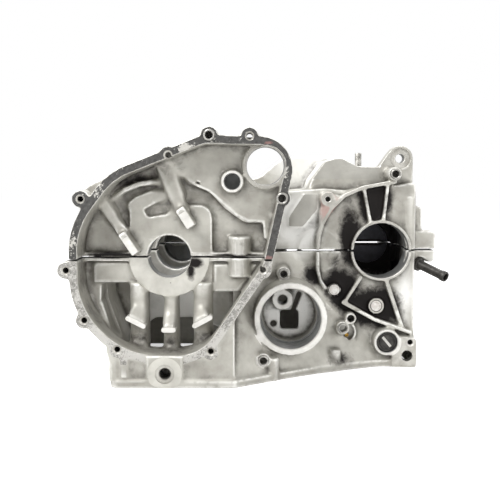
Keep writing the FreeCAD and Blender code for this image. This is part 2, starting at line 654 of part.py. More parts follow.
def upper_casting(solids, spaces, inner, holes):
    """Upper casting, with the deck, the starter opening, the gearbox hump and the mounting ear."""
    outer = solids + magneto_ears(UPPER_EARS) + [
        crank_top(),
        prism("gearbox_top", GEARBOX_TOP, "side_wall", "far_web_end"),
        prism("gearbox_dome", DOME, "side_wall + 12", "far_web_end"),
        prism("mount_ear", MOUNT_EAR, "mount_ear_start", "mount_ear_start + mount_ear_thickness"),
        bar("starter_sleeve", STARTER, "shallow_floor", "starter_collar_end", "starter_collar"),
        bar("idler_socket", IDLER, "deep_floor", "idler_face + idler_depth + 4", "idler_boss"),
        prism("rear_lug_top", [(244, 0, 0), (272, 0, 0), (272, 19.5, 3), (244, 19.5, 0)],
              "rear_lug_start", "rear_lug_start + rear_lug_width"),
        prism("rear_tab", [(247, 21, 0), (258, 21, 0), (258, 44, 0), (247, 48, 0)],
              "rear_lug_start + 3", "rear_lug_start + 8"),
    ]
    cavities = list(spaces)
    for bay, (near, far) in bay_levels().items():
        cavities.append(bar(f"crank_space_top_{bay}", (0, 0), near, far, "crank_chamber"))
    gearbox_near, gearbox_far = "side_wall + side_wall_thickness", "far_wall_start"
    cavities.append(prism("gearbox_space_top", [(76, -20, 0), (76, 52, 0), (118, 54, 0), (243, 60, 0), (243, -20, 0)],
                          gearbox_near, gearbox_far))
    cavities.append(prism("dome_space", [(144, 40, 0), (150, 70, 0), (162, 86, 0), (172, 89, 0), (188, 80, 0),
                                         (208, 80, 0), (222, 62, 0), (222, 40, 0)],
                          "side_wall + 12 + case_wall", gearbox_far))
    inside = list(inner) + [
        prism("bearing_pad_top", BEARING_PAD, "0", "near_web_end"),
        prism("rib_a_face", strip([(-29.5, 4.5), (-42.5, 24)], 7.5), "rib_face", "deep_floor + 1"),
        prism("rib_a_ridge", strip([(-42, 23), (-59, 46), (-66, 60)], 10), "ridge_face", "deep_floor + 1"),
        prism("rib_b_face", strip([(22.8, 29.6), (11.6, 47)], 9), "rib_face", "deep_floor + 1"),
        prism("rib_b_ridge", strip([(12, 46), (-1.2, 74), (-6, 90)], 10), "ridge_face", "deep_floor + 1"),
        prism("island", ISLAND, "0", "deep_floor + 1"),
        prism("step_bead", strip(STEP_BEAD, 2.6), "shallow_floor - 1.5", "deep_floor + 1"),
        prism("arc_band", strip([(-60, 50), (-42, 63.8), (-27.6, 69.5), (-13.3, 71.4), (2, 70.5)], 4.5),
              "0", "deep_floor + 1"),
        bar("idler_boss_front", IDLER, "idler_face", "deep_floor + 1", "idler_boss"),
        bar("starter_rim", STARTER, "shallow_floor - 4", "shallow_floor + 1", "starter_collar"),
        post("joint_post_top", (67.4, 5), "0", "joint_post_height", "joint_post"),
        prism("joint_lip_top", [(-83, -2, 0), (-83, 4, 0), (92, 4, 0), (92, -2, 0)], "-1", "deep_floor + 1"),
        bar("frame_ear", FRAME_EAR, "sprocket_face", "side_wall + 3", "7.7"),
        prism("frame_web", FRAME_WEB, "sprocket_face + 2", "side_wall + 3"),
        prism("rim_rib_front", strip([(194.8, 64), (202, 28)], 3.4), "sprocket_face + 1", "side_wall + 3"),
        prism("rim_rib_rear", strip([(219.1, 67), (214.8, 28)], 3.4), "sprocket_face + 1", "side_wall + 3"),
        prism("input_panel", FAR_PANEL, "side_wall - 2", "side_wall + 1"),
        post("stud_boss", STUD, "60", "stud_seat + 9", "stud_radius + 4"),
    ]
    place, near, far = SIDE_BOSSES["sprocket_dowel_top"]
    inside.append(bar("sprocket_boss_top", place, str(near), str(far), "dowel_boss"))
    bores = list(holes) + magneto_ear_holes(UPPER_EARS) + clutch_holes(CLUTCH_SCREWS_UPPER, "clutch_top")
    bores += cylinder_spaces()
    bores += [
        prism("island_pocket", ISLAND_POCKET, "-1", "deep_floor - 1"),
        bar("starter_opening", STARTER, "magneto_face", "far_web_end - 100", "starter_hole"),
        bar("idler_seat", IDLER, "idler_face - 1", "idler_face + idler_depth", "idler_bore"),
        bar("mount_eye", MOUNT_EYE, "mount_ear_start - 1", "mount_ear_start + mount_ear_thickness + 1", "mount_hole"),
        bar("mount_recess_cut", MOUNT_EYE, "mount_ear_start - 1", "mount_ear_start + mount_recess_depth",
            "mount_recess"),
        bar("frame_ear_screw", FRAME_EAR, "sprocket_face - 1", "side_wall + 6", "cover_screw_hole"),
        dowel_seat("sprocket_dowel_top"),
        post("rear_lug_screw_top", (263, 85), "-1", "30", "rear_lug_hole"),
        post("stud_hole", STUD, "stud_seat", "stud_seat + 30", "stud_radius + dowel_clearance"),
    ]
    shell = without("upper_shell", joined("upper_outer", outer), cavities)
    full = joined("upper_full", [shell] + inside)
    drilled = without("upper_drilled", full, bores)
    return shared("upper_crankcase", drilled, half_space("above_joint", True))


def pump_housing():
    """Round body of the oil pump chamber, closed at the back."""
    return bar("pump_housing", PUMP, "pump_face", "pump_floor + pump_floor_thickness", "pump_outer")


def pump_seat(name):
    """Bore of the oil pump chamber: the pump's seat, and a narrower bore down to the floor."""
    return joined(name, [
        bar(f"{name}_mouth", PUMP, "pump_face - 1", "pump_face + pump_seat_depth", "pump_bore"),
        bar(f"{name}_inner", PUMP, "pump_face + pump_seat_depth - 1", "pump_floor", "pump_inner_bore"),
    ])


def dowel_seat(name):
    """Seat of a hollow dowel in a sprocket-side boss."""
    place, near, _ = SIDE_BOSSES[name]
    return bar(f"{name}_seat", place, f"{near} - 1", f"{near} + dowel_length - dowel_stand",
               "dowel_outer + dowel_clearance")


def leg_pad(name, angle, length):
    """Machined capsule pad on a wedge that stands out from a bearing leg, turned about the crankshaft."""
    half, reach = length / 2, SIZES["leg_pad_reach"]
    sketch = doc.addObject("Sketcher::SketchObject", f"leg_pad_{name}_outline")
    turn = FreeCAD.Rotation(FreeCAD.Vector(0, 1, 0), -angle)
    sketch.Placement = FreeCAD.Placement(FreeCAD.Vector(), turn * UPRIGHT)
    tied(sketch, "Placement.Base.y", "leg_pad_face")
    draw(sketch, [(-half, -reach - 2.5, 2.4), (half, -reach - 2.5, 2.4), (half, -reach + 2.5, 2.4), (-half, -reach + 2.5, 2.4)])
    capsule = extruded(f"leg_pad_{name}", sketch, FreeCAD.Vector(0, 1, 0), "-leg_pad_face + 4")
    side = doc.addObject("Sketcher::SketchObject", f"leg_wedge_{name}_outline")
    along = FreeCAD.Rotation(FreeCAD.Matrix(0, 0, 1, 0, 1, 0, 0, 0, 0, 1, 0, 0, 0, 0, 0, 1))
    side.Placement = FreeCAD.Placement(turn.multVec(FreeCAD.Vector(-half, 0, 0)), turn * along)
    face, foot = SIZES["leg_pad_face"] + 2, SIZES["leg_face"] + 1
    draw(side, [(foot, -reach + 20, 0), (face, -reach + 3.5, 0), (face, -reach - 3.5, 0), (foot, -reach - 11, 0)])
    wedge = extruded(f"leg_wedge_{name}", side, turn.multVec(FreeCAD.Vector(1, 0, 0)), str(length))
    return [capsule, wedge]


def lower_casting(solids, spaces, inner, holes):
    """Lower casting, with the sump, the bearing legs, the oil pump chamber and the sprocket side ribs."""
    wall = SIZES["case_wall"]
    lower_ears = [name for name in MAGNETO_EARS if name not in UPPER_EARS]
    outer = solids + magneto_ears(lower_ears) + [
        prism("crank_bottom", CRANK_SIDES_LOW, "deep_floor", "far_web_end"),
        prism("sump_block", SUMP_BLOCK, "block_front", "deep_floor + 20"),
        slab("pan_flange", PAN_OUTLINE, "-pan_drop", "-pan_drop + pan_flange_height"),
        leaning_body("gearbox_bottom", 0, "-pan_drop"),
        prism("rear_lug_low", REAR_LUG_LOW, "50", "66"),
        prism("rear_lug_bottom", [(244, 0, 0), (271.4, 0, 0), (271.4, -13.3, 3), (244, -13.3, 0)],
              "rear_lug_start", "rear_lug_start + rear_lug_width"),
    ]
    cavities = list(spaces)
    for bay, (near, far) in bay_levels().items():
        cavities.append(prism(f"crank_space_low_{bay}", CRANK_BAY_LOW, near, far))
    cavities += [
        prism("sump_passage", SUMP_PASSAGE, "near_web_end - 2", "far_web_end - case_wall"),
        prism("front_sump", FRONT_SUMP, "block_front + case_wall", "near_web_end"),
        leaning_body("gearbox_space_low", wall, "-pan_drop - 1"),
        prism("sump_cross", [(50, PAN - 1, 0), (50, PAN + 36, 0), (90, PAN + 36, 0), (90, PAN - 1, 0)], "36", "far_wall_start"),
        pump_seat("pump_seat_in_wall"),
    ]
    cavities += [prism(name, corners, "shallow_floor", "near_web_end") for name, corners in WINDOWS.items()]
    inside = list(inner) + [
        bar("bearing_pad_low", (0, 0), "0", "near_web_end", "pad_radius"),
        without("pump_cup", pump_housing(), [pump_seat("pump_seat_in_cup")]),
        bar("pump_shaft_housing", PUMP_SHAFT, "pump_floor - pump_shaft_boss_height",
            "pump_floor + pump_floor_thickness", "pump_shaft_boss"),
        bar("plug_housing", SLOTTED_PLUG, "50", "side_wall + 6", "plug_boss"),
        bar("gallery_boss_rear", GALLERY_PLUG_REAR, "side_wall - gallery_boss_stand", "side_wall + 4", "gallery_plug_boss"),
        bar("gallery_boss_front", GALLERY_PLUG_FRONT, "side_wall - gallery_boss_stand", "side_wall + 4", "gallery_plug_boss - 1.5"),
        bar("pocket_housing", POCKET_BOSS, "54", "side_wall + 4", "pocket_boss"),
        bar("small_boss_near", SMALL_BOSS, "52", "side_wall + 4", "small_boss"),
        post("joint_post_low", (67.4, 5), "-joint_post_height", "0", "joint_post"),
        prism("joint_lip_low", [(-83, 2, 0), (-83, -4, 0), (90, -4, 0), (90, 2, 0)], "-1", "deep_floor + 1"),
        prism("pocket_rib_front", strip([(193, -27), (175, -55)], 3.6), "sprocket_face", "side_wall + 3"),
        prism("pocket_rib_rear", strip([(218.5, -30), (232.3, -69.9), (236.5, -81)], 4), "sprocket_face", "side_wall + 3"),
        prism("pocket_rib_base", strip([(173, -53), (207.1, -71.8), (246, -86)], 3.8), "sprocket_face - 2",
              "side_wall + 3"),
        bar("gallery_pad_boss", GALLERY, "gallery_pad_face", "block_front + gallery_depth + 4", "gallery_pad - 4"),
        prism("gallery_pad_plate", [(-18.8, PAN + 30, 0), (-18.8, PAN + 7, 13), (-8, PAN, 8), (4, PAN, 8),
                                    (14.8, PAN + 7, 13), (14.8, PAN + 30, 0)], "gallery_pad_face", "block_front + 1"),
        post("front_rib_first", (-50.5, -26), "-pan_drop + 6", "-pan_drop + 32", "4.4"),
        post("front_rib_second", (-40.3, -27.5), "-pan_drop + 10", "-pan_drop + 32", "5.1"),
    ]
    for name, corners in LEGS.items():
        inside.append(prism(name, corners, "leg_face", "near_web_end"))
    for name, corners in SHELVES.items():
        inside.append(prism(name, corners, "leg_face", "deep_floor + 1"))
    for name, (angle, length) in LEG_PADS.items():
        inside += leg_pad(name, angle, length)
    for name in ("pump_side_dowel", "sprocket_dowel_front", "sprocket_dowel_bottom"):
        place, near, far = SIDE_BOSSES[name]
        inside.append(bar(f"{name}_boss", place, str(near), str(far), "dowel_boss"))
    for i, place in enumerate(PAN_SCREWS[:2], start=1):
        inside.append(post(f"pan_boss_{i}", place, "-pan_drop", "-pan_drop + pan_boss_height", "pan_boss"))
    inside.append(nipple_boss())
    bores = list(holes) + magneto_ear_holes(lower_ears) + clutch_holes(CLUTCH_SCREWS_LOWER, "clutch_bottom")
    bores += [
        bar("pump_shaft_seat", PUMP_SHAFT, "pump_floor - pump_shaft_boss_height - 1",
            "pump_floor + 20", "pump_shaft_hole"),
        bar("gallery_tapped", GALLERY, "gallery_pad_face - 1", "gallery_pad_face + gallery_depth", "gallery_hole"),
        bar("gallery_countersink", GALLERY, "gallery_pad_face - 1", "gallery_pad_face + 2", "gallery_ring"),
        bar("plug_seat", SLOTTED_PLUG, "49", "50 + plug_depth + plug_recess", "plug_bore + dowel_clearance"),
        bar("gallery_seat_rear", GALLERY_PLUG_REAR, "side_wall - gallery_boss_stand - 1", "side_wall - gallery_boss_stand + gallery_plug_length",
            "gallery_plug + dowel_clearance"),
        bar("gallery_seat_front", GALLERY_PLUG_FRONT, "side_wall - gallery_boss_stand - 1", "side_wall - gallery_boss_stand + gallery_plug_length",
            "gallery_plug + dowel_clearance"),
        bar("pocket_space", POCKET_BOSS, "53", "side_wall - 2", "pocket_boss - 2.5"),
        bar("small_screw_near", SMALL_BOSS, "51", "side_wall", "cover_screw_hole + 1"),
        bar("lug_screw_top", LUG_SCREW_TOP, "49", "64", "cover_screw_hole"),
        bar("lug_screw_bottom", LUG_SCREW_BOTTOM, "49", "67", "cover_screw_hole + 2.8"),
        prism("pump_window", PUMP_WINDOW, "pump_floor - 1", "pump_floor + 30"),
        prism("pump_slot", PUMP_SLOT, "pump_floor - 1", "pump_floor + 30"),
        bar("pump_oil_hole", PUMP_OIL_HOLE, "pump_floor - 1", "pump_floor + 20", "pump_oil_bore"),
        post("rear_lug_screw_bottom", (263, 85), "-30", "1", "rear_lug_hole"),
        bar("jet_seat", JET, "53", "side_wall + case_wall / 2", "jet_radius + dowel_clearance"),
    ]
    bores += nipple_holes()
    for name in ("pump_side_dowel", "sprocket_dowel_front", "sprocket_dowel_bottom"):
        bores.append(dowel_seat(name))
    for i, place in enumerate(PAN_SCREWS, start=1):
        bores.append(post(f"pan_screw_{i}", place, "-pan_drop - 1", "-pan_drop + pan_screw_depth", "pan_screw_hole"))
    shell = without("lower_shell", joined("lower_outer", outer), cavities)
    full = joined("lower_full", [shell] + inside)
    drilled = without("lower_drilled", full, bores)
    return shared("lower_crankcase", drilled, half_space("below_joint", False))


NIPPLE_AXIS = FreeCAD.Vector(0.625, -0.722, -0.295).normalize()
NIPPLE_ROOT = FreeCAD.Vector(250, 84, -13)


def on_nipple(name, start, length, radius):
    """Cylinder on the axis of the hose nipple."""
    solid = doc.addObject("Part::Cylinder", name)
    turn = FreeCAD.Rotation(FreeCAD.Vector(0, 0, 1), NIPPLE_AXIS)
    solid.Placement = FreeCAD.Placement(NIPPLE_ROOT + NIPPLE_AXIS * start, turn)
    tied(solid, "Height", length)
    tied(solid, "Radius", radius)
    return solid


def nipple_boss():
    """Boss at the rear of the lower casting that carries the hose nipple."""
    return on_nipple("nipple_boss_solid", -14, "20", "nipple_boss")


def nipple_holes():
    """Seat of the hose nipple, and the spot face that clears its collar."""
    return [
        on_nipple("nipple_seat_hole", 6 - SIZES["nipple_seat"], "nipple_seat + 1", "nipple_outer + dowel_clearance"),
        on_nipple("nipple_spot_face", 6, "nipple_length", "nipple_collar + 0.4"),
    ]


def turned(name, profile, placement):
    """Turned piece: a half section (radius, height) revolved about its own axis."""
    body = doc.addObject("PartDesign::Body", name)
    plane = [f for f in body.Origin.OriginFeatures if f.Role == "XZ_Plane"][0]
    sketch = body.newObject("Sketcher::SketchObject", name + "_section")
    sketch.AttachmentSupport = [(plane, "")]
    sketch.MapMode = "FlatFace"
    draw(sketch, [(radius, height, 0) for radius, height in profile])
    turn = body.newObject("PartDesign::Revolution", name + "_turned")
    turn.Profile = sketch
    turn.ReferenceAxis = (sketch, ["V_Axis"])
    turn.Angle = 360
    body.Placement = placement
    return body


def tube(outer, bore, length):
    """Half section of a plain tube."""
    return [(bore, 0), (outer, 0), (outer, length), (bore, length)]


def set_of(name, pieces):
    """Like pieces that share one node as separate solids."""
    group = doc.addObject("Part::Compound", name)
    group.Links = pieces
    return group


def hollow_dowels(name, seats):
    """Hollow dowels that stand out of their seats (x, z, face level) towards the magneto side."""
    section = tube(SIZES["dowel_outer"], SIZES["dowel_bore"], SIZES["dowel_length"])
    dowels = []
    for i, (x, z, face) in enumerate(seats, start=1):
        end = face + SIZES["dowel_length"] - SIZES["dowel_stand"]
        dowels.append(turned(f"{name}_{i}", section, FreeCAD.Placement(FreeCAD.Vector(x, end, z), UPRIGHT)))
    return set_of(name, dowels)


def joint_dowels():
    """Hollow dowels across the joint."""
    length = SIZES["joint_dowel_length"]
    section = tube(SIZES["joint_dowel_outer"], SIZES["joint_dowel_bore"], length)
    return set_of("joint_dowels", [
        turned(name, section, FreeCAD.Placement(FreeCAD.Vector(x, y, -length / 2), FreeCAD.Rotation()))
        for name, (x, y) in JOINT_DOWELS.items()
    ])


def gallery_plugs():
    """Plain plugs pressed into the two oil galleries under the output bearing."""
    length, radius = SIZES["gallery_plug_length"], SIZES["gallery_plug"]
    section = [(0, 0), (radius, 0), (radius, length), (0, length)]
    level = SIZES["side_wall"] - SIZES["gallery_boss_stand"] + length
    places = {"gallery_plug_rear": GALLERY_PLUG_REAR, "gallery_plug_front": GALLERY_PLUG_FRONT}
    return set_of("gallery_plugs", [
        turned(name, section, FreeCAD.Placement(FreeCAD.Vector(x, level, z), UPRIGHT))
        for name, (x, z) in places.items()
    ])


def oil_jet():
    """Brass jet in the pocketed boss."""
    length, radius, bore = SIZES["jet_length"], SIZES["jet_radius"], SIZES["jet_bore"]
    base = FreeCAD.Vector(JET[0], SIZES["side_wall"] + SIZES["case_wall"] / 2, JET[1])
    return turned("oil_jet", tube(radius, bore, length), FreeCAD.Placement(base, UPRIGHT))


def small_pieces():
    """Dowels, plugs, jet, nipple and stud, each on its own axis."""
    magneto_seats = [(*MAGNETO_EARS[name], SIZES["magneto_face"]) for name in DOWEL_EARS]
    side_seats = [(*place, near) for place, near, _ in SIDE_BOSSES.values()]
    return [
        hollow_dowels("cover_dowels", magneto_seats + side_seats),
        joint_dowels(),
        gallery_plugs(),
        oil_jet(),
        hose_nipple(),
        slotted_plug(),
        deck_stud(),
    ]


def hose_nipple():
    """Steel hose nipple: plain seat, collar against the boss, and a tube."""
    seat, length = SIZES["nipple_seat"], SIZES["nipple_length"]
    outer, bore, collar = SIZES["nipple_outer"], SIZES["nipple_bore"], SIZES["nipple_collar"]
    profile = [
        (bore, 0), (outer, 0), (outer, seat), (collar, seat), (collar, seat + 5), (outer, seat + 5),
        (outer, length), (bore, length),
    ]
    turn = FreeCAD.Rotation(FreeCAD.Vector(0, 0, 1), NIPPLE_AXIS)
    return turned("hose_nipple", profile, FreeCAD.Placement(NIPPLE_ROOT + NIPPLE_AXIS * (6 - seat), turn))


def slotted_plug():
    """Large screw plug with one slot across its face."""
    radius, depth = SIZES["plug_bore"], SIZES["plug_depth"]
    profile = [(0, 0), (radius, 0), (radius, depth), (0, depth)]
    base = FreeCAD.Vector(SLOTTED_PLUG[0], 50 + SIZES["plug_recess"] + depth, SLOTTED_PLUG[1])
    blank = turned("plug_blank", profile, FreeCAD.Placement(base, FreeCAD.Rotation(FreeCAD.Vector(1, 0, 0), 90)))
    slot = doc.addObject("Part::Box", "plug_slot")
    width, reach = SIZES["plug_slot_width"], radius * 1.3
    slot.Length, slot.Width, slot.Height = reach, SIZES["plug_slot_depth"] + 1, width
    face = 50 + SIZES["plug_recess"]
    tilt = FreeCAD.Rotation(FreeCAD.Vector(0, 1, 0), 50)
    corner = FreeCAD.Vector(SLOTTED_PLUG[0], face - 1, SLOTTED_PLUG[1]) + tilt.multVec(
        FreeCAD.Vector(-reach / 2, 0, -width / 2))
    slot.Placement = FreeCAD.Placement(corner, tilt)
    plug = doc.addObject("Part::Cut", "slotted_plug")
    plug.Base = blank
    plug.Tool = slot
    return plug


def deck_stud():
    """Stud left in the far side of the gearbox hump."""
    radius, length = SIZES["stud_radius"], SIZES["stud_length"]
    profile = [(0, 0), (radius, 0), (radius, length - 1), (radius - 1, length), (0, length)]
    return turned("deck_stud", profile, FreeCAD.Placement(FreeCAD.Vector(*STUD, SIZES["stud_seat"]), FreeCAD.Rotation()))


def write_parts(pieces):
    """Check every object and write each piece to its own file."""
    doc.recompute()
    for owner in doc.Objects:
        if "Invalid" in owner.State or "Error" in owner.State:
            raise RuntimeError(f"{owner.Name} failed: {owner.State}")
    os.makedirs("parts", exist_ok=True)
    for piece in pieces:
        if piece.Shape.isNull() or not piece.Shape.isValid():
            raise RuntimeError(f"{piece.Label} has no valid shape")
        print(piece.Label, len(piece.Shape.Solids), "solids", round(piece.Shape.Volume))
        piece.Shape.exportStep(os.path.join("parts", piece.Label + ".step"))


divided = main_halves()
write_parts([upper_casting(*divided), lower_casting(*divided)] + small_pieces())
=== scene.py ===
"""Split engine crankcase on a white table: cast skins, machined faces, small fittings and studio light.

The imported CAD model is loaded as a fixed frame. Each casting gets a skin of its own: the CAD shape
is rounded like sand-cast metal, then cut again by exact planes and cylinders, so that machined faces
and bores are crisp and carry their own finish. Lengths are written in millimetres and turned to
metres where a mesh is made. X runs to the rear of the engine, Y from the magneto side to the clutch
side, and Z up, from the crankshaft axis.
"""
import json
import logging
import math
from dataclasses import dataclass, field
from enum import Enum
from typing import Any

import bmesh
import bpy
import numpy as np
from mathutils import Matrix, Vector

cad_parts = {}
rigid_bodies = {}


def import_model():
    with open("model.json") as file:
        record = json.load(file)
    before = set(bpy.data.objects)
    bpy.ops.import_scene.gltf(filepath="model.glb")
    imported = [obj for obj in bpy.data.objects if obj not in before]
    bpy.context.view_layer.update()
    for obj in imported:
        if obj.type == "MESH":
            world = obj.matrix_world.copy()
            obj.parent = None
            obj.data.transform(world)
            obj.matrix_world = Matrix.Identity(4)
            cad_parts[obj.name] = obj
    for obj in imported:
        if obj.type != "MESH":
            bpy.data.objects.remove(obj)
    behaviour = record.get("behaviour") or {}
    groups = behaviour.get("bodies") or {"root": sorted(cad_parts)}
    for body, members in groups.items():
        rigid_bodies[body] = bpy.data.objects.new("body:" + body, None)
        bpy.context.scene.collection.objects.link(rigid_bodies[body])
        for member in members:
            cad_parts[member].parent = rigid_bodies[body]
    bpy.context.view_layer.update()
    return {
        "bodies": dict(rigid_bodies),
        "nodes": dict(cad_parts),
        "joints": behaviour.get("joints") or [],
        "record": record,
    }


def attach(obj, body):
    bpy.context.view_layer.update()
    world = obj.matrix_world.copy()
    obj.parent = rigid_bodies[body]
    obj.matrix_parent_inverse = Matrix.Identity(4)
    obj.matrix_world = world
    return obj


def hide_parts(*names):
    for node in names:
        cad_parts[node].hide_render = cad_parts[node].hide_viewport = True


LOG = logging.getLogger("crankcase")
MM = 0.001
AXIS_RADIUS = 1e-6  # radius in millimetres of the tiny rings at an axis, which are merged to one point
BOX_CORNERS = np.array([[x, y, z] for x in (0, 1) for y in (0, 1) for z in (0, 1)])
BOX_FACES = np.array([[0, 1, 3, 2], [4, 6, 7, 5], [0, 4, 5, 1], [2, 3, 7, 6], [0, 2, 6, 4], [1, 5, 7, 3]])

# Kinds of node with their settings. The blend mixes two colours, and the mix two values.
NOISE = "ShaderNodeTexNoise"
ADD = ("ShaderNodeMath", {"operation": "ADD"})
SUBTRACT = ("ShaderNodeMath", {"operation": "SUBTRACT"})
MULTIPLY = ("ShaderNodeMath", {"operation": "MULTIPLY"})
HIGHEST = ("ShaderNodeMath", {"operation": "MAXIMUM"})
RAMP = ("ShaderNodeMapRange", {"clamp": True})
BLEND = ("ShaderNodeMix", {"data_type": "RGBA"})
MIX = ("ShaderNodeMix", {"data_type": "FLOAT"})


class Half(Enum):
    """Which of the two castings a piece belongs to."""

    UPPER = "upper_crankcase"
    LOWER = "lower_crankcase"


def linear(code: str) -> tuple[float, float, float, float]:
    """Turn an sRGB hex colour into the linear colour that Blender's nodes take.

    Args:
        code: colour as "#rrggbb".

    Returns:
        Linear red, green, blue and an alpha of 1.
    """
    levels = [int(code[i:i + 2], 16) / 255 for i in (1, 3, 5)]
    red, green, blue = (v / 12.92 if v <= 0.04045 else ((v + 0.055) / 1.055) ** 2.4 for v in levels)
    return red, green, blue, 1.0


def feed(tree: bpy.types.NodeTree, node: bpy.types.Node, **inputs: Any) -> None:
    """Feed the sockets of a node.

    Args:
        tree: node tree that holds the node.
        node: node whose sockets are fed.
        inputs: what feeds each input: a value, a source socket, or a node, of which the first live
            output is taken. An input is named with underscores for its spaces, or by its number, as i2.
    """
    for name, value in inputs.items():
        numbered = name[0] == "i" and name[1:].isdigit()
        socket = node.inputs[int(name[1:]) if numbered else name.replace("_", " ")]
        if isinstance(value, bpy.types.Node):
            value = next(output for output in value.outputs if output.enabled)
        if isinstance(value, bpy.types.NodeSocket):
            tree.links.new(value, socket)
        else:
            socket.default_value = value


def add_node(tree: bpy.types.NodeTree, kind: str, settings: dict[str, Any] | None = None,
             **inputs: Any) -> bpy.types.Node:
    """Add one node to a tree, set it up and feed its sockets.

    Args:
        tree: node tree that gets the node.
        kind: Blender's name of the node type.
        settings: properties of the node itself.
        inputs: what feeds each input, as feed takes it.

    Returns:
        The new node.
    """
    node = tree.nodes.new(kind)
    for name, value in (settings or {}).items():
        setattr(node, name, value)
    feed(tree, node, **inputs)
    return node


def grains(size: float, detail: float = 3.0, roughness: float = 0.55, warp: float = 0.0) -> dict[str, float]:
    """Inputs of a noise texture whose patches have a real size.

    Args:
        size: width of a patch in millimetres.
        detail: number of finer layers.
        roughness: strength of the finer layers.
        warp: how far the pattern is bent.

    Returns:
        Value of each input.
    """
    return {"Scale": 1 / (size * MM), "Detail": detail, "Roughness": roughness, "Distortion": warp}


def patches(tree: bpy.types.NodeTree, place: bpy.types.NodeSocket, low: float, high: float,
            grain: dict[str, float]) -> bpy.types.Node:
    """Soft patches: noise that counts as 0 below one level and as 1 above another.

    Args:
        tree: node tree.
        place: Object coordinates.
        low: level that gives 0.
        high: level that gives 1.
        grain: inputs of the noise.

    Returns:
        Node that gives the patches.
    """
    clouds = add_node(tree, NOISE, None, Vector=place, **grain)
    return add_node(tree, *RAMP, Value=clouds, From_Min=low, From_Max=high)


def laid_over(tree: bpy.types.NodeTree, colour: bpy.types.Node, code: str, share: float,
              *masks: bpy.types.Node) -> bpy.types.Node:
    """Lay one colour over another where every mask is high.

    Args:
        tree: node tree.
        colour: node that gives the colour below.
        code: colour on top, as "#rrggbb".
        share: how much of it covers where every mask is 1.
        masks: nodes that give values from 0 to 1.

    Returns:
        Node that gives the mixed colour.
    """
    cover = share
    for mask in masks:
        cover = add_node(tree, *MULTIPLY, i0=cover, i1=mask)
    return add_node(tree, *BLEND, i0=cover, i6=colour, i7=linear(code))


@dataclass(frozen=True)
class Finish:
    """Surface finish with one base colour, mottling and a fine relief.

    Attributes:
        name: name of the material, after the real finish.
        colour: main colour.
        shade: colour of the darker patches.
        metallic: how much of the surface is bare metal.
        roughness: roughness of the gloss.
        patch: width of the mottling in millimetres.
        grain: width of the relief's grains in millimetres.
        relief: height of the relief in millimetres.
    """

    name: str
    colour: str
    shade: str
    metallic: float
    roughness: float
    patch: float = 14.0
    grain: float = 0.7
    relief: float = 0.03

    def start(self) -> tuple[bpy.types.Material, bpy.types.NodeTree, bpy.types.Node, bpy.types.NodeSocket]:
        """Make the material with its shader.

        Returns:
            The material, its node tree, its shader and the Object coordinates.
        """
        material = bpy.data.materials.new(self.name)
        material.use_nodes = True
        tree = material.node_tree
        tree.nodes.clear()
        shader = add_node(tree, "ShaderNodeBsdfPrincipled", None, Metallic=self.metallic,
                          Roughness=self.roughness)
        add_node(tree, "ShaderNodeOutputMaterial", None, Surface=shader)
        place = add_node(tree, "ShaderNodeTexCoord").outputs["Object"]
        return material, tree, shader, place

    def mottled(self, tree: bpy.types.NodeTree, place: bpy.types.NodeSocket) -> bpy.types.Node:
        """Main colour with soft darker patches."""
        darker = patches(tree, place, 0.36, 0.68, grains(self.patch, 4.0))
        return add_node(tree, *BLEND, i0=darker, i6=linear(self.colour), i7=linear(self.shade))

    def broken_gloss(self, tree: bpy.types.NodeTree, place: bpy.types.NodeSocket, size: float,
                     spread: float) -> bpy.types.Node:
        """Roughness that changes softly over the surface.

        Args:
            tree: node tree.
            place: Object coordinates.
            size: width of a patch in millimetres.
            spread: share by which the roughness rises and falls.

        Returns:
            Node that gives the roughness.
        """
        clouds = add_node(tree, NOISE, None, Vector=place, **grains(size))
        return add_node(tree, *RAMP, Value=clouds, From_Min=0.3, From_Max=0.7,
                        To_Min=self.roughness * (1 - spread), To_Max=min(self.roughness * (1 + spread), 1.0))

    def grained(self, tree: bpy.types.NodeTree, shader: bpy.types.Node, place: bpy.types.NodeSocket) -> None:
        """Fine relief on the shader's normal.

        Args:
            tree: node tree.
            shader: shader that gets the relief.
            place: Object coordinates.
        """
        height = add_node(tree, NOISE, None, Vector=place, **grains(self.grain, 2.0, 0.6))
        bump = add_node(tree, "ShaderNodeBump", None, Height=height, Distance=self.relief * MM, Strength=1.0)
        feed(tree, shader, Normal=bump)

    def make(self) -> bpy.types.Material:
        """Build the material with mottled colour, broken gloss and relief.

        Returns:
            The material.
        """
        material, tree, shader, place = self.start()
        rough = self.broken_gloss(tree, place, self.patch * 0.4, 0.2)
        feed(tree, shader, Base_Color=self.mottled(tree, place), Roughness=rough)
        self.grained(tree, shader, place)
        return material


@dataclass(frozen=True)
class Stain:
    """Patch at a place on the casting: dirt, sealant, painted light and painted shade all use it.

    Attributes:
        centre: middle of the patch in millimetres.
        reach: half size along X, Y and Z in millimetres.
        amount: strength at its middle.
    """

    centre: tuple[float, float, float]
    reach: tuple[float, float, float]
    amount: float = 1.0

    def mask(self, tree: bpy.types.NodeTree, place: bpy.types.NodeSocket, strength: float) -> bpy.types.Node:
        """Soft ellipsoid: highest at its centre and 0 at its reach along each axis.

        Args:
            tree: node tree.
            place: Object coordinates.
            strength: factor on the patch's own amount.

        Returns:
            Node that gives the mask.
        """
        scale = tuple(1 / (r * MM) for r in self.reach)
        shift = tuple(-c * MM * s for c, s in zip(self.centre, scale))
        moved = add_node(tree, "ShaderNodeMapping", None, Vector=place, Scale=scale, Location=shift)
        away = add_node(tree, "ShaderNodeVectorMath", {"operation": "LENGTH"}, i0=moved).outputs["Value"]
        inside = add_node(tree, "ShaderNodeMath", {"operation": "SUBTRACT", "use_clamp": True}, i0=1.0,
                          i1=away)
        return add_node(tree, *MULTIPLY, i0=inside, i1=self.amount * strength)


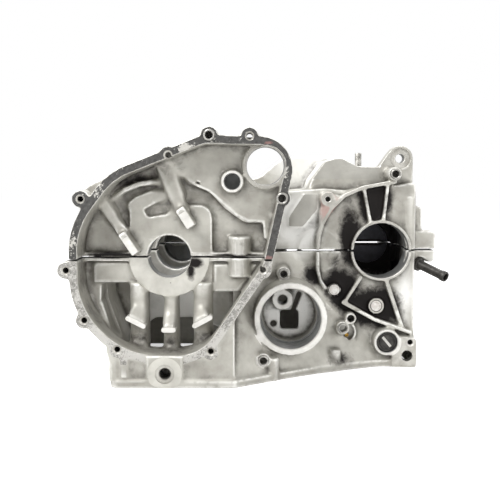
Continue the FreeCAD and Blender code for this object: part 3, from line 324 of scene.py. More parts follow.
@dataclass(frozen=True)
class CastAluminium(Finish):
    """Die-cast aluminium, dulled by heat: satin grey with a fine grain, oil and painted shade in its hollows,
    painted light in patches, and edges brightened by rubbing and a painted highlight.

    Attributes:
        edge: colour of outer edges, partly rubbed wear and partly a painted highlight.
        painted_corner_shade: colour of the painted shade that darkens corners.
        speck: colour of small dark specks.
        oil: colour of old oil film, also laid as painted shade and painted shadow in places.
        film: colour of the thin oil at the rim of a patch, also laid as painted shade in corners and shaded
            places.
        sealant: colour of the pinkish sealant.
        pale: near-white colour of the painted light on brightly lit parts.
        oil_and_shade_places: patches of black oil film, and patches of the same film that are painted shade
            and painted shadow.
        splash_places: patches with scattered small marks of oil.
        sealant_places: patches of sealant.
        painted_light_places: patches of painted light.
    """

    edge: str = "#e4e3de"
    painted_corner_shade: str = "#45423b"
    speck: str = "#3a3833"
    oil: str = "#1b1817"
    film: str = "#47433e"
    sealant: str = "#bf9b94"
    pale: str = "#e3e2de"
    oil_and_shade_places: tuple[Stain, ...] = ()
    splash_places: tuple[Stain, ...] = ()
    sealant_places: tuple[Stain, ...] = ()
    painted_light_places: tuple[Stain, ...] = ()

    def level(self, tree: bpy.types.NodeTree, place: bpy.types.NodeSocket, places: tuple[Stain, ...],
              broken: float) -> bpy.types.Node:
        """Join the soft patches of one kind of mark, such as dirt, painted light or painted shade, and break
        them by noise.

        Args:
            tree: node tree.
            place: Object coordinates.
            places: the patches.
            broken: width of the flakes along the patch's rim in millimetres.

        Returns:
            Node that gives a value over 0 inside the patches.
        """
        total = -1.0
        for stain in places:
            total = add_node(tree, *HIGHEST, i0=total, i1=stain.mask(tree, place, 1.6))
        flakes = add_node(tree, NOISE, None, Vector=place, **grains(broken, 5.0, 0.65, 0.6))
        return add_node(tree, *SUBTRACT, i0=total, i1=flakes)

    def weathered(self, tree: bpy.types.NodeTree, place: bpy.types.NodeSocket,
                  deep: bpy.types.NodeSocket) -> bpy.types.Node:
        """Colour of the dry casting: mottled, with painted light in patches, painted shade in corners, and
        outer edges brightened by rubbing and a painted highlight.

        Args:
            tree: node tree.
            place: Object coordinates.
            deep: how far the surface lies in a wide hollow.

        Returns:
            Node that gives the colour.
        """
        # Painted light: the casting is whitened in patches where light falls strongly.
        pale = self.level(tree, place, self.painted_light_places, 24.0)
        painted_light_mask = add_node(tree, *RAMP, Value=pale, From_Min=-0.35, From_Max=0.35)
        # Painted shade: corners darken by how deep they lie in a wide hollow, broken by cloudy patches.
        corners = add_node(tree, *RAMP, Value=deep, From_Min=0.08, From_Max=0.75)
        hollow = add_node(tree, "ShaderNodeAttribute", {"attribute_name": "hollow"}).outputs["Fac"]
        # Outer edges made near white: partly rubbed wear, partly a painted highlight.
        rubbed_and_highlit_edges = add_node(tree, *RAMP, Value=hollow, From_Min=-0.12, From_Max=-0.6)
        cloudy = patches(tree, place, 0.2, 0.55, grains(9.0, 4.0))
        worn = patches(tree, place, 0.25, 0.5, grains(5.0, 4.0))
        specks = patches(tree, place, 0.70, 0.76, grains(2.2, 3.0, 0.7))
        colour = laid_over(tree, self.mottled(tree, place), self.pale, 1.0, painted_light_mask)
        colour = laid_over(tree, colour, self.painted_corner_shade, 0.8, corners, cloudy)
        colour = laid_over(tree, colour, self.edge, 0.85, rubbed_and_highlit_edges, worn)
        return laid_over(tree, colour, self.speck, 0.5, specks)

    def make(self) -> bpy.types.Material:
        """Build the casting's material from its dry colour, oil, painted shade and sealant.

        Oil film, which also lays painted shade in deep corners and at shaded places, is darker, rougher
        in its gloss and hides the metal below, so it mixes three inputs of the shader besides the colour.

        Returns:
            The material.
        """
        material, tree, shader, place = self.start()
        deep = add_node(tree, "ShaderNodeAttribute", {"attribute_name": "deep"}).outputs["Fac"]
        corners = add_node(tree, *RAMP, Value=deep, From_Min=0.0, From_Max=0.7)
        # Painted shade: the oil film is thickened in deep corners, which darkens them.
        corner_shade_in_oil = add_node(tree, *MULTIPLY, i0=corners, i1=0.35)
        oil = add_node(tree, *ADD, i0=self.level(tree, place, self.oil_and_shade_places, 7.0), i1=corner_shade_in_oil)
        thin = add_node(tree, *RAMP, Value=oil, From_Min=-0.35, From_Max=0.08)
        thick = add_node(tree, *RAMP, Value=oil, From_Min=0.0, From_Max=0.32)
        splashed = self.level(tree, place, self.splash_places, 2.4)
        splash = add_node(tree, *RAMP, Value=splashed, From_Min=0.0, From_Max=0.04)
        oil_and_shade_cover = add_node(tree, *HIGHEST, i0=thick, i1=splash)
        smeared = self.level(tree, place, self.sealant_places, 3.0)
        daub = add_node(tree, *RAMP, Value=smeared, From_Min=-0.05, From_Max=0.4)
        colour = laid_over(tree, self.weathered(tree, place, deep), self.film, 0.8, thin)
        colour = laid_over(tree, colour, self.oil, 1.0, oil_and_shade_cover)
        colour = laid_over(tree, colour, self.sealant, 0.7, daub)
        dry = self.broken_gloss(tree, place, 6.0, 0.15)
        rough = add_node(tree, *MIX, i0=oil_and_shade_cover, i2=dry, i3=0.5)
        metal = add_node(tree, *MIX, i0=oil_and_shade_cover, i2=self.metallic, i3=0.0)
        sheen = add_node(tree, *MIX, i0=oil_and_shade_cover, i2=0.5, i3=0.12)
        feed(tree, shader, Base_Color=colour, Roughness=rough, Metallic=metal, Specular_IOR_Level=sheen)
        self.grained(tree, shader, place)
        return material


@dataclass(frozen=True)
class MachinedAluminium(Finish):
    """Milled aluminium: brighter than the casting, with fine parallel tool marks.

    Attributes:
        pitch: distance between tool marks in millimetres, drawn coarser than real so that it shows.
    """

    pitch: float = 0.9

    def grained(self, tree: bpy.types.NodeTree, shader: bpy.types.Node, place: bpy.types.NodeSocket) -> None:
        """Parallel tool marks and a few scratches on the shader's normal.

        Args:
            tree: node tree.
            shader: shader that gets the relief.
            place: Object coordinates.
        """
        marks = add_node(tree, "ShaderNodeTexWave", {"wave_type": "BANDS", "bands_direction": "DIAGONAL"},
                         Vector=place, Scale=0.3 / (self.pitch * MM), Distortion=1.4, Detail=2.0,
                         Detail_Scale=1.5)
        faint = add_node(tree, *MULTIPLY, i0=marks.outputs["Fac"], i1=0.5)
        scratches = add_node(tree, NOISE, None, Vector=place, **grains(self.grain, 2.0))
        height = add_node(tree, *ADD, i0=faint, i1=scratches)
        bump = add_node(tree, "ShaderNodeBump", None, Height=height, Distance=self.relief * MM)
        feed(tree, shader, Normal=bump)


@dataclass(frozen=True)
class GasketResidue(Finish):
    """Cover face with baked-on gasket: a dull dark film, chipped down to bright metal in specks.

    Attributes:
        metal: colour of the bare specks.
        cover: share of the face that the film still covers, from 0 to 1.
        flake: width of a chip in millimetres.
        sealant: colour of sealant smears.
        worn_places: patches where most of the film is gone.
        sealant_places: patches of reddish sealant on the film.
    """

    metal: str = "#d8d5cd"
    cover: float = 0.6
    flake: float = 2.4
    sealant: str = "#7d4a43"
    worn_places: tuple[Stain, ...] = ()
    sealant_places: tuple[Stain, ...] = ()

    def make(self) -> bpy.types.Material:
        """Build the residue's material: film, bare metal where it is chipped, and sealant on both.

        Returns:
            The material.
        """
        material, tree, shader, place = self.start()
        coarse = add_node(tree, NOISE, None, Vector=place, **grains(self.flake * 5, 4.0, 0.6, 0.8))
        fine = add_node(tree, NOISE, None, Vector=place, **grains(self.flake, 3.0, 0.6, 0.4))
        large = add_node(tree, *MULTIPLY, i0=coarse, i1=0.45)
        small = add_node(tree, *MULTIPLY, i0=fine, i1=0.55)
        worn = add_node(tree, *ADD, i0=large, i1=small)
        for stain in self.worn_places:
            worn = add_node(tree, *ADD, i0=worn, i1=stain.mask(tree, place, 0.3))
        level = 0.38 + 0.24 * self.cover
        chips = add_node(tree, *RAMP, Value=worn, From_Min=level, From_Max=level + 0.04)
        colour = laid_over(tree, self.mottled(tree, place), self.metal, 1.0, chips)
        for stain in self.sealant_places:
            smeared = add_node(tree, *SUBTRACT, i0=stain.mask(tree, place, 1.8), i1=fine)
            daub = add_node(tree, *RAMP, Value=smeared, From_Min=0.0, From_Max=0.3)
            colour = laid_over(tree, colour, self.sealant, 1.0, daub)
        bare = add_node(tree, *MIX, i0=chips, i2=self.metallic, i3=0.7)
        bump = add_node(tree, "ShaderNodeBump", None, Height=chips, Distance=0.08 * MM, Strength=-0.8)
        feed(tree, shader, Base_Color=colour, Metallic=bare, Normal=bump)
        return material


@dataclass
class Palette:
    """All finishes of the object, made once and shared."""

    # Die-cast aluminium, dulled by heat: a soft satin grey that shows its form by broad highlights.
    cast: CastAluminium = CastAluminium(
        "die_cast_aluminium_dulled", "#b4b2aa", "#96938b", 0.35, 0.46, 22.0, 0.8, 0.04,
        oil_and_shade_places=(
            Stain((207, 68, 52), (24, 11, 30)), Stain((181, 69, 14), (15, 11, 46), 0.9),
            Stain((172, 69, -44), (26, 12, 36), 1.1), Stain((206, 69, -60), (38, 11, 28), 1.1),
            Stain((222, 150, 0), (58, 60, 58), 1.4), Stain((167, 66, -12), (13, 8, 18), 0.36),
            # Painted shadow: the stain at (168, 42, -109) darkens a band at the base; painted shade: the
            # stain at (-88, -12, -14) darkens the magneto chamber's left wall.
            Stain((168, 42, -109), (22, 24, 9), 0.55), Stain((-88, -12, -14), (12, 26, 60), 0.6),
            # Painted shade: the stain at (140, 66, -28) darkens the recess behind the ring wall.
            Stain((140, 66, -28), (17, 14, 16), 0.7), Stain((-56, 0, 1.5), (34, 9, 4.5), 1.1),
            Stain((66, 0, 1), (34, 9, 3.5), 1.0), Stain((-30, 8, 72), (34, 9, 10), 0.5),
            # Painted shade: the three stains at the leg feet, at x -31, 1 and 33, darken the feet below the
            # pads.
            Stain((-31, -2, -78), (18, 16, 11), 0.42), Stain((1, -2, -82), (12, 16, 9), 0.42),
            Stain((33, -2, -78), (18, 16, 11), 0.42), Stain((0, -10, -91), (64, 30, 8), 0.34),
            Stain((-70, -14, -48), (15, 18, 48), 0.31), Stain((64, -14, -56), (24, 16, 34), 0.28),
            Stain((-20, -14, 84), (60, 14, 16), 0.26), Stain((20, 14, 30), (44, 12, 14), 0.26),
        ),
        splash_places=(Stain((0, 0, -14), (42, 3, 30), 0.25),),
        sealant_places=(Stain((158, 62, 45), (19, 8, 24), 0.95), Stain((86, -20, 3), (8, 16, 6), 0.8)),
        # Painted light: each patch below whitens a brightly lit part of the casting.
        painted_light_places=(
            Stain((-45, 100, 85), (60, 90, 50), 1.3), Stain((150, 135, 90), (90, 50, 45), 1.2),
            Stain((128, 66, 30), (34, 24, 44), 1.0), Stain((240, 72, -45), (16, 16, 40), 0.8),
            Stain((0, 60, -60), (70, 50, 70), 0.9), Stain((116, 45, -60), (34, 14, 34), 1.2),
        ),
    )
    # Milled faces of the casting: a step brighter, with a faint direction in the gloss.
    machined: MachinedAluminium = MachinedAluminium(
        "milled_aluminium", "#c0beb7", "#a19e96", 0.5, 0.36, 9.0, 0.6, 0.02)
    # Milled bearing pad: pale and even, with a black run of oil beside the bore.
    pad: CastAluminium = CastAluminium(
        "milled_bearing_pad", "#c7c5bd", "#b2b0a8", 0.35, 0.42, 16.0, 0.6, 0.015,
        oil_and_shade_places=(Stain((24, 0, -6), (11, 5, 7), 1.1), Stain((21, 0, -13), (6, 5, 13), 0.8)),
        splash_places=(Stain((-2, 0, -24), (34, 5, 16), 0.25),))
    # Milled boss faces, rims and chamfers, a step lighter than the other milled faces as painted light: the
    # palest metal, almost white.
    bright: MachinedAluminium = MachinedAluminium(
        "milled_aluminium_painted_light", "#dedcd7", "#c9c7c1", 0.3, 0.4, 9.0, 0.6, 0.02)
    # Bored seats: a cooler, darker grey as painted shade, for the shade inside the case.
    bored: MachinedAluminium = MachinedAluminium(
        "bored_aluminium_painted_shade", "#8f8f8e", "#787876", 0.3, 0.45, 9.0, 0.5, 0.015)
    # Sanded end faces of the hump: flat grey without any gloss lines.
    end_face: Finish = Finish("sanded_end_face", "#acaaa3", "#9a9891", 0.35, 0.46, 22.0, 0.8, 0.04)
    # Far output bore deep in the case: nearly black with a blue cast, as painted shade.
    far_bore_shade: Finish = Finish("far_bore_painted_shade", "#35343b", "#222126", 0.5, 0.34, 9.0, 0.6, 0.02)
    # Joint face with old oil: a brown-black that makes the gap read as a dark line.
    joint: Finish = Finish("joint_face_with_old_oil", "#2a2622", "#181512", 0.1, 0.6, 5.0, 0.6, 0.03)
    # Tapped holes: darker as painted shade in the hole, and broken light and dark as painted light and shade
    # of threads seen from a distance.
    tapped: Finish = Finish("tapped_hole_dark", "#7b7973", "#3f3d39", 0.4, 0.5, 2.0, 0.4, 0.05)
    # Gasket baked on by heat: a dull charcoal film, with bright flecks where it is scraped off.
    dark_gasket: GasketResidue = GasketResidue(
        "baked_gasket_dark", "#4a4947", "#302f2d", 0.1, 0.7, 3.5, metal="#b9b7b1", cover=0.95, flake=1.4,
        worn_places=(Stain((19.5, -32, 103), (13, 9, 7)), Stain((-61, -32, 66), (9, 9, 9), 0.6),
                     Stain((43, -32, 111), (7, 9, 5), 0.8), Stain((107, -32, 82), (8, 9, 9), 0.9),
                     Stain((103, -32, 57), (8, 9, 8), 0.8), Stain((-86, -32, 14), (8, 9, 18), 0.5)),
        sealant="#7c5f5b",
        sealant_places=(Stain((94, -32, 107), (8, 8, 3), 0.6), Stain((94, -32, 2), (8, 8, 4), 0.7)))
    # The same gasket worn thin: a speckled grey over pale metal.
    pale_gasket: GasketResidue = GasketResidue(
        "baked_gasket_thin", "#92908b", "#6d6b67", 0.2, 0.6, 2.2, metal="#b9b7b2", cover=0.5, flake=1.1,
        worn_places=(Stain((-6, -32, -88), (44, 9, 12), 0.9), Stain((-60, -32, -74), (24, 9, 22), 0.5),
                     Stain((52, -32, -78), (20, 9, 16), 0.5)))
    # Ground steel with a trace of oil: a brighter, tighter gloss than the casting.
    steel: Finish = Finish("ground_steel_oiled", "#c2c0bb", "#8e8c87", 0.6, 0.3, 5.0, 0.5, 0.015)
    # Turned aluminium plugs: nearly white, with a slightly warm shade.
    plug: Finish = Finish("turned_aluminium_plug", "#e2e0dc", "#bdb6af", 0.5, 0.36, 4.0, 0.6, 0.02)
    # Steel with black oxide: dark and dull, with a soft edge light.
    oxide: Finish = Finish("black_oxide_steel", "#474542", "#2a2927", 0.6, 0.4, 6.0, 0.6, 0.03)
    # Turned brass: one warm yellow point.
    brass: Finish = Finish("turned_brass", "#d0a450", "#a27a35", 0.9, 0.32, 3.0, 0.5, 0.02)
    made: dict[str, bpy.types.Material] = field(default_factory=dict)

    def get(self, name: str) -> bpy.types.Material:
        """Give the material of a finish, made on its first use.

        Args:
            name: field that holds the finish.

        Returns:
            The material.
        """
        if name not in self.made:
            self.made[name] = getattr(self, name).make()
        return self.made[name]


def mesh_object(name: str, points: np.ndarray, faces: np.ndarray, smooth: bool = True) -> bpy.types.Object:
    """Put arrays of points and quads into a new object of the scene.

    Args:
        name: name of the object.
        points: corner places in millimetres, one row each.
        faces: corner numbers, one row of four each.
        smooth: whether the faces are shaded smooth.

    Returns:
        The new object, whose outward normals are worked out.
    """
    mesh = bpy.data.meshes.new(name)
    mesh.from_pydata((points * MM).tolist(), [], faces.tolist())
    work = bmesh.new()
    work.from_mesh(mesh)
    bmesh.ops.remove_doubles(work, verts=work.verts, dist=1e-7)
    bmesh.ops.delete(work, geom=[e for e in work.edges if e.is_wire], context="EDGES")
    bmesh.ops.recalc_face_normals(work, faces=work.faces)
    work.to_mesh(mesh)
    work.free()
    mesh.polygons.foreach_set("use_smooth", np.full(len(mesh.polygons), smooth))
    if smooth:
        mesh.set_sharp_from_angle(angle=math.radians(32))
    thing = bpy.data.objects.new(name, mesh)
    bpy.context.scene.collection.objects.link(thing)
    return thing


def lathe(profile: np.ndarray, base: Vector, axis: Vector, turns: int = 48) -> tuple[np.ndarray, np.ndarray]:
    """Closed surface of revolution.

    A point of the surface is base + axis * height + radius * (cos(a) * u + sin(a) * v), where u and
    v are square to the axis, a is the angle, and radius and height follow the closed profile.

    Args:
        profile: rows of radius and height in millimetres, as a closed loop.
        base: start of the axis in millimetres.
        axis: direction of the axis.
        turns: number of steps round the axis.

    Returns:
        Points and quads.
    """
    along = np.array(axis.normalized())
    side = np.cross(along, [0.0, 0.0, 1.0] if abs(along[2]) < 0.9 else [1.0, 0.0, 0.0])
    side /= np.linalg.norm(side)
    other = np.cross(along, side)
    angle = np.linspace(0, 2 * np.pi, turns, endpoint=False)
    ring = np.cos(angle)[:, None] * side + np.sin(angle)[:, None] * other
    radius, height = profile[:, 0], profile[:, 1]
    points = np.array(base) + height[:, None, None] * along + radius[:, None, None] * ring
    rows, columns = len(profile), turns
    i, j = np.meshgrid(np.arange(rows), np.arange(columns), indexing="ij")
    faces = np.stack([i * columns + j, i * columns + (j + 1) % columns,
                      (i + 1) % rows * columns + (j + 1) % columns, (i + 1) % rows * columns + j], axis=-1)
    return points.reshape(-1, 3), faces.reshape(-1, 4)


def gathered(parts: list[tuple[np.ndarray, np.ndarray]]) -> tuple[np.ndarray, np.ndarray]:
    """Join several sets of points and quads into one.

    Args:
        parts: points and quads of each set.

    Returns:
        All points and quads.
    """
    starts = np.cumsum([0] + [len(points) for points, _ in parts[:-1]])
    points = np.concatenate([points for points, _ in parts])
    faces = np.concatenate([faces + start for (_, faces), start in zip(parts, starts)])
    return points, faces


@dataclass
class Cutter:
    """Box or cylinder that cuts a casting again to its machined shape.

    Attributes:
        finish: name of the finish that the cut surface gets.
        low: lowest corner of a box in millimetres, or None for a cylinder.
        high: highest corner of a box in millimetres.
        base: start of a cylinder's axis in millimetres.
        axis: direction of a cylinder's axis.
        length: length of a cylinder in millimetres.
        radius: radius of a cylinder in millimetres.
        flare: how much wider the cylinder is at its start, which makes it a cone, in millimetres.
        turn: angle of a box about the line along Y through its middle, in degrees.
    """

    finish: str
    low: tuple[float, float, float] | None = None
    high: tuple[float, float, float] | None = None
    base: tuple[float, float, float] = (0, 0, 0)
    axis: tuple[float, float, float] = (0, 1, 0)
    length: float = 0
    radius: float = 0
    flare: float = 0
    turn: float = 0

    def build(self, material: bpy.types.Material) -> bpy.types.Object:
        """Make the cutter's closed mesh.

        Args:
            material: material that the cut surface gets.

        Returns:
            Object that is used once and deleted.
        """
        if self.low is not None:
            low, high = np.array(self.low), np.array(self.high)
            cos, sin = math.cos(math.radians(self.turn)), math.sin(math.radians(self.turn))
            about_y = np.array([[cos, 0, -sin], [0, 1, 0], [sin, 0, cos]])
            points = (low + high) / 2 + (BOX_CORNERS - 0.5) * (high - low) @ about_y.T
            thing = mesh_object("cutter", points, BOX_FACES, False)
        else:
            turns = 32 if self.radius < 8 else 96
            profile = np.array([[AXIS_RADIUS, 0.0], [self.radius + self.flare, 0.0],
                                [self.radius, self.length], [AXIS_RADIUS, self.length]])
            points, faces = lathe(profile, Vector(self.base), Vector(self.axis), turns)
            thing = mesh_object("cutter", points, faces[:3 * turns], False)
            self.close(thing)
        thing.data.materials.append(material)
        return thing

    @staticmethod
    def close(thing: bpy.types.Object) -> None:
        """Merge the tiny rings at a cylinder's axis and fill what stays open.

        Args:
            thing: the cylinder.
        """
        work = bmesh.new()
        work.from_mesh(thing.data)
        bmesh.ops.remove_doubles(work, verts=work.verts, dist=1e-6)
        bmesh.ops.holes_fill(work, edges=[e for e in work.edges if e.is_boundary])
        bmesh.ops.recalc_face_normals(work, faces=work.faces)
        work.to_mesh(thing.data)
        work.free()


def bore(finish: str, x: float, z: float, near: float, far: float, radius: float) -> Cutter:
    """Cylinder cutter along Y at a place seen from the magneto side."""
    return Cutter(finish, base=(x, near, z), axis=(0, 1, 0), length=far - near, radius=radius)


def rim(finish: str, x: float, z: float, face: float, radius: float, size: float) -> Cutter:
    """Cone cutter along Y that chamfers the mouth of a bore at a face."""
    return Cutter(finish, base=(x, face - 1, z), length=size + 1, radius=radius, flare=size + 1)


def slab(finish: str, low: tuple[float, float, float], high: tuple[float, float, float]) -> Cutter:
    """Box cutter between two corners."""
    return Cutter(finish, low=low, high=high)


def plank(finish: str, start: tuple[float, float], end: tuple[float, float], width: float, near: float,
          far: float) -> Cutter:
    """Box cutter along a slanting line seen from the magneto side.

    Args:
        finish: finish of the cut surface.
        start: x and z of the line's start in millimetres.
        end: x and z of its end.
        width: width across the line.
        near: level along Y where the box starts.
        far: level where it ends.

    Returns:
        The cutter.
    """
    run = math.dist(start, end)
    middle_x, middle_z = (start[0] + end[0]) / 2, (start[1] + end[1]) / 2
    angle = math.degrees(math.atan2(end[1] - start[1], end[0] - start[0]))
    low, high = (-run / 2, near, -width / 2), (run / 2, far, width / 2)
    return Cutter(finish, low=(middle_x + low[0], near, middle_z + low[2]),
                  high=(middle_x + high[0], far, middle_z + high[2]), turn=angle)


class DenseMesh:
    """Evenly dense mesh as arrays, whose vertices move by the mean of their neighbours.

    Attributes:
        mesh: the mesh.
        places: vertex places in metres, one row each.
        first: vertex number at one end of each edge.
        second: vertex number at its other end.
        degree: number of edges at each vertex.
    """

    def __init__(self, mesh: bpy.types.Mesh) -> None:
        """Read the mesh into arrays."""
        self.mesh = mesh
        count = len(mesh.vertices)
        flat = np.empty(count * 3)
        mesh.vertices.foreach_get("co", flat)
        self.places = flat.reshape(-1, 3)
        edges = np.empty(len(mesh.edges) * 2, dtype=np.int64)
        mesh.edges.foreach_get("vertices", edges)
        self.first, self.second = edges[0::2], edges[1::2]
        self.degree = np.maximum(np.bincount(edges, minlength=count), 1)[:, None]

    def neighbour_mean(self, values: np.ndarray) -> np.ndarray:
        """Mean of the values at each vertex's neighbours.

        Args:
            values: three values for each vertex.

        Returns:
            Their means, in the same shape.
        """
        count = len(values)
        total = [np.bincount(self.first, values[self.second, k], count)
                 + np.bincount(self.second, values[self.first, k], count) for k in range(3)]
        return np.stack(total, axis=1) / self.degree

    def normals(self) -> np.ndarray:
        """Outward direction at each vertex.

        Returns:
            One row for each vertex.
        """
        flat = np.empty(self.places.size)
        self.mesh.vertices.foreach_set("co", self.places.ravel())
        self.mesh.update()
        self.mesh.vertices.foreach_get("normal", flat)
        return flat.reshape(-1, 3)

    def fill_corners(self, steps: int, fill: float = 0.6, wear: float = 0.1) -> None:
        """Fill inner corners to a casting's radius and round outer edges a little.

        Each step moves a vertex towards the mean of its neighbours. The part of the move along
        the normal is taken by the share fill where it points outwards, as in an inner corner, and by
        the smaller share wear where it points inwards, as on an outer edge.

        Args:
            steps: number of steps.
            fill: share of outward moves.
            wear: share of inward moves.
        """
        even, refresh = 0.3, 5  # share of each move that evens the mesh, and steps per reading of the normals
        for step in range(steps):
            if step % refresh == 0:
                normals = self.normals()
            pull = self.neighbour_mean(self.places) - self.places
            along = (pull * normals).sum(1)[:, None]
            kept = np.where(along > 0, fill, wear) - even
            self.places += normals * (along * kept) + pull * even
        self.normals()

    def soften(self, centre: tuple[float, float, float], reach: tuple[float, float, float],
               steps: int) -> None:
        """Smooth one area like hand-finished pattern work, fading out at its rim.

        Args:
            centre: middle of the area in millimetres.
            reach: half size of the area along X, Y and Z in millimetres.
            steps: number of steps.
        """
        away = np.linalg.norm((self.places / MM - centre) / reach, axis=1)
        chosen = np.flatnonzero(away < 1)
        count = len(chosen)
        number = np.full(len(away), -1)
        number[chosen] = np.arange(count)
        first, second = number[self.first], number[self.second]
        inside = (first >= 0) & (second >= 0)
        first, second = first[inside], second[inside]
        degree = np.bincount(first, minlength=count) + np.bincount(second, minlength=count)
        degree = np.maximum(degree, 1)
        fade, share = 3, 0.5  # how fast the softening sets in from the rim, and its full strength
        weight = np.clip((1 - away[chosen]) * fade, 0, 1) * share
        for k in range(3):
            value = self.places[chosen, k]
            for _ in range(steps):
                total = np.bincount(first, value[second], count) + np.bincount(second, value[first], count)
                value = value + weight * (total / degree - value)
            self.places[chosen, k] = value
        self.normals()

    def store_hollow(self, name: str, rings: int, depth: float) -> None:
        """Store how hollow the surface is, from -1 on an outer edge to 1 in a corner.

        Each vertex is compared with the mean of its surroundings, averaged over several rings of
        neighbours: the part of that difference along the normal is the hollow.

        Args:
            name: name of the attribute.
            rings: number of rings.
            depth: difference that counts as 1, in millimetres.
        """
        mean = self.places
        for _ in range(rings):
            mean = self.neighbour_mean(mean)
        hollow = ((mean - self.places) * self.normals()).sum(1) / (depth * MM)
        attribute = self.mesh.attributes.new(name, "FLOAT", "POINT")
        attribute.data.foreach_set("value", np.clip(hollow, -1, 1).astype(np.float32))


@dataclass
class Casting:
    """Skin of one casting: rounded like cast metal, then machined again.

    Attributes:
        half: which casting this is.
        voxel: size of the remesh in millimetres, which sets how small a rounded edge can be.
        rounding: number of steps that fill the corners.
        softening: number of steps that soften the leg pads and the rib roots.
        shave: depth that each machined face loses, so that its edge is crisp, in millimetres.
        keep: share of the faces that stay after the thinning.
        joint_gap: half height of the open gap in the joint plane, in millimetres.
        flange: level of the magneto cover flange along Y in millimetres.
        deck_tilt: angle by which the cylinder deck leans forward, in degrees.
    """

    half: Half
    voxel: float = 1.0
    rounding: int = 25
    softening: int = 70
    shave: float = 0.3
    keep: float = 0.2
    joint_gap: float = 0.6
    flange: float = -32.0
    deck_tilt: float = 27.0

    def screw_places(self) -> list[tuple[float, float]]:
        """Screw ears of the magneto cover flange on this casting.

        Returns:
            x and z of each screw in millimetres.
        """
        if self.half is Half.UPPER:
            return [(-77.6, 56.1), (2.9, 96.1), (40.2, 114.1), (77.0, 113.2), (106.6, 56.8)]
        return [(89.4, -9.1), (40.9, -85.4), (-46.0, -83.5), (-76.3, -56.2), (-92.4, -9.6)]

    def soft_places(self) -> list[tuple[tuple[float, float, float], tuple[float, float, float]]]:
        """Middle and reach of the areas with soft, sculpted forms.

        Returns:
            The middle and the half size of each area in millimetres.
        """
        if self.half is Half.UPPER:
            return [((4, -4, 70), (24, 15, 34)), ((-58, -4, 48), (22, 15, 28))]
        return [((2, -5, -66), (62, 15, 34))]

    def joint_cuts(self) -> list[Cutter]:
        """Cuts along the joint plane: wide in front, and closed behind the line bore of the upper casting.

        Returns:
            The cutters, in the order in which they cut.
        """
        gap = self.joint_gap + self.shave
        if self.half is Half.LOWER:
            return [slab("joint", (-120, -60, -gap), (300, 260, 40))]
        bay_end, overlap, crank_end = 148, 1, 60
        return [
            slab("joint", (-120, -60, -40), (300, bay_end, gap)),
            slab("joint", (crank_end, bay_end - overlap, -40), (300, 260, gap)),
        ]

    def shared_cuts(self) -> list[Cutter]:
        """Cuts that both castings get: joint, covers' faces, line bore and bearing seats.

        Returns:
            The cutters, in the order in which they cut.
        """
        cuts = self.joint_cuts() + [
            slab("machined", (-120, 205 - self.shave, -130), (300, 230, 130)),
            bore("bored", 0, 0, -40, 167, 20.5),
            rim("bright", 0, 0, 0, 20.5, 0.8),
            bore("machined", 213.2, 0, 40, 60 + self.shave, 32.2),
            bore("bored", 213.2, 0, 50, 93, 28.5),
            rim("bright", 213.2, 0, 60 + self.shave, 28.5, 0.9),
            bore("far_bore_shade", 213.2, 0, 150, 167, 23.5),
            bore("bored", 149.9, 0, 75, 93, 17.5),
            bore("bored", 149.9, 0, 150, 180, 31),
        ]
        for x, z in self.screw_places():
            cuts.append(rim("machined", x, z, self.flange + self.shave, 2.7, 1.5))
            cuts.append(bore("tapped", x, z, -40, -14, 2.7))
        return cuts

    def upper_cuts(self) -> list[Cutter]:
        """Cuts of the upper casting only.

        Returns:
            The cutters, in the order in which they cut.
        """
        tilt = math.radians(self.deck_tilt)
        deck = (-math.sin(tilt), 0.0, math.cos(tilt))
        face = self.flange + self.shave
        cuts = [
            slab("dark_gasket", (-120, -60, -5), (140, face, 130)),
            bore("machined", 92.1, 86.5, -30, -8 + self.shave, 22.6),
            bore("bored", 92.1, 86.5, -40, 40, 17.9),
            rim("bright", 92.1, 86.5, -8 + self.shave, 17.9, 0.8),
            bore("bright", 60.7, 71.9, -30, -12 + self.shave, 11.4),
            bore("bored", 60.7, 71.9, -30, 12, 7.3),
            rim("bored", 60.7, 71.9, -12 + self.shave, 7.3, 0.8),
            bore("machined", 224.9, 79, 40, 52 + self.shave, 7.6),
            bore("tapped", 224.9, 79, 40, 63, 5.02),
            bore("tapped", 77.0, 113.2, -40, 0, 2.9),
            bore("machined", 234.8, 95.3, 70, 83, 10.5),
            bore("bored", 234.8, 95.3, 70, 110, 4.7),
            bore("machined", 157.5, 53.3, 50, 60 + self.shave, 8.4),
            slab("end_face", (140, 76, 74), (212, 80 + self.shave, 110)),
            slab("end_face", (212, 76, 88), (250, 80 + self.shave, 110)),
            slab("end_face", (117, 58, 24), (146.8, 66 + self.shave, 58.5)),
            rim("bright", 157.5, 53.3, 60 + self.shave, 2.7, 1.0),
            bore("tapped", 157.5, 53.3, 50, 74, 2.7),
            slab("machined", (146, 40, -5), (258, 60 + self.shave, 70.5)),
            plank("bright", (-29.5, 4.5), (-39.5, 19.5), 8.2, -30, -20 + self.shave),
            plank("bright", (22.8, 29.6), (14.4, 43), 9.6, -30, -20 + self.shave),
            Cutter("tapped", base=(263, 85, -5), axis=(0, 0, 1), length=40, radius=3.3),
            Cutter("tapped", base=(200, 150, 79), axis=(0, 0, 1), length=30, radius=4.02),
        ]
        cuts += [bore("tapped", x, z, -40, -21, 5.02) for x, z in ((40.2, 114.1), (106.6, 56.8))]
        for level in (46, 122):
            base = (deck[0] * 40, level, deck[2] * 40)
            cuts.append(Cutter("bored", base=base, axis=deck, length=80, radius=31))
        for level in (16, 84, 152):
            for across in (-36, 30):
                start = (deck[0] * 74 + across * deck[2], level, deck[2] * 74 - across * deck[0])
                cuts.append(Cutter("tapped", base=start, axis=deck, length=40, radius=4.2))
        return cuts

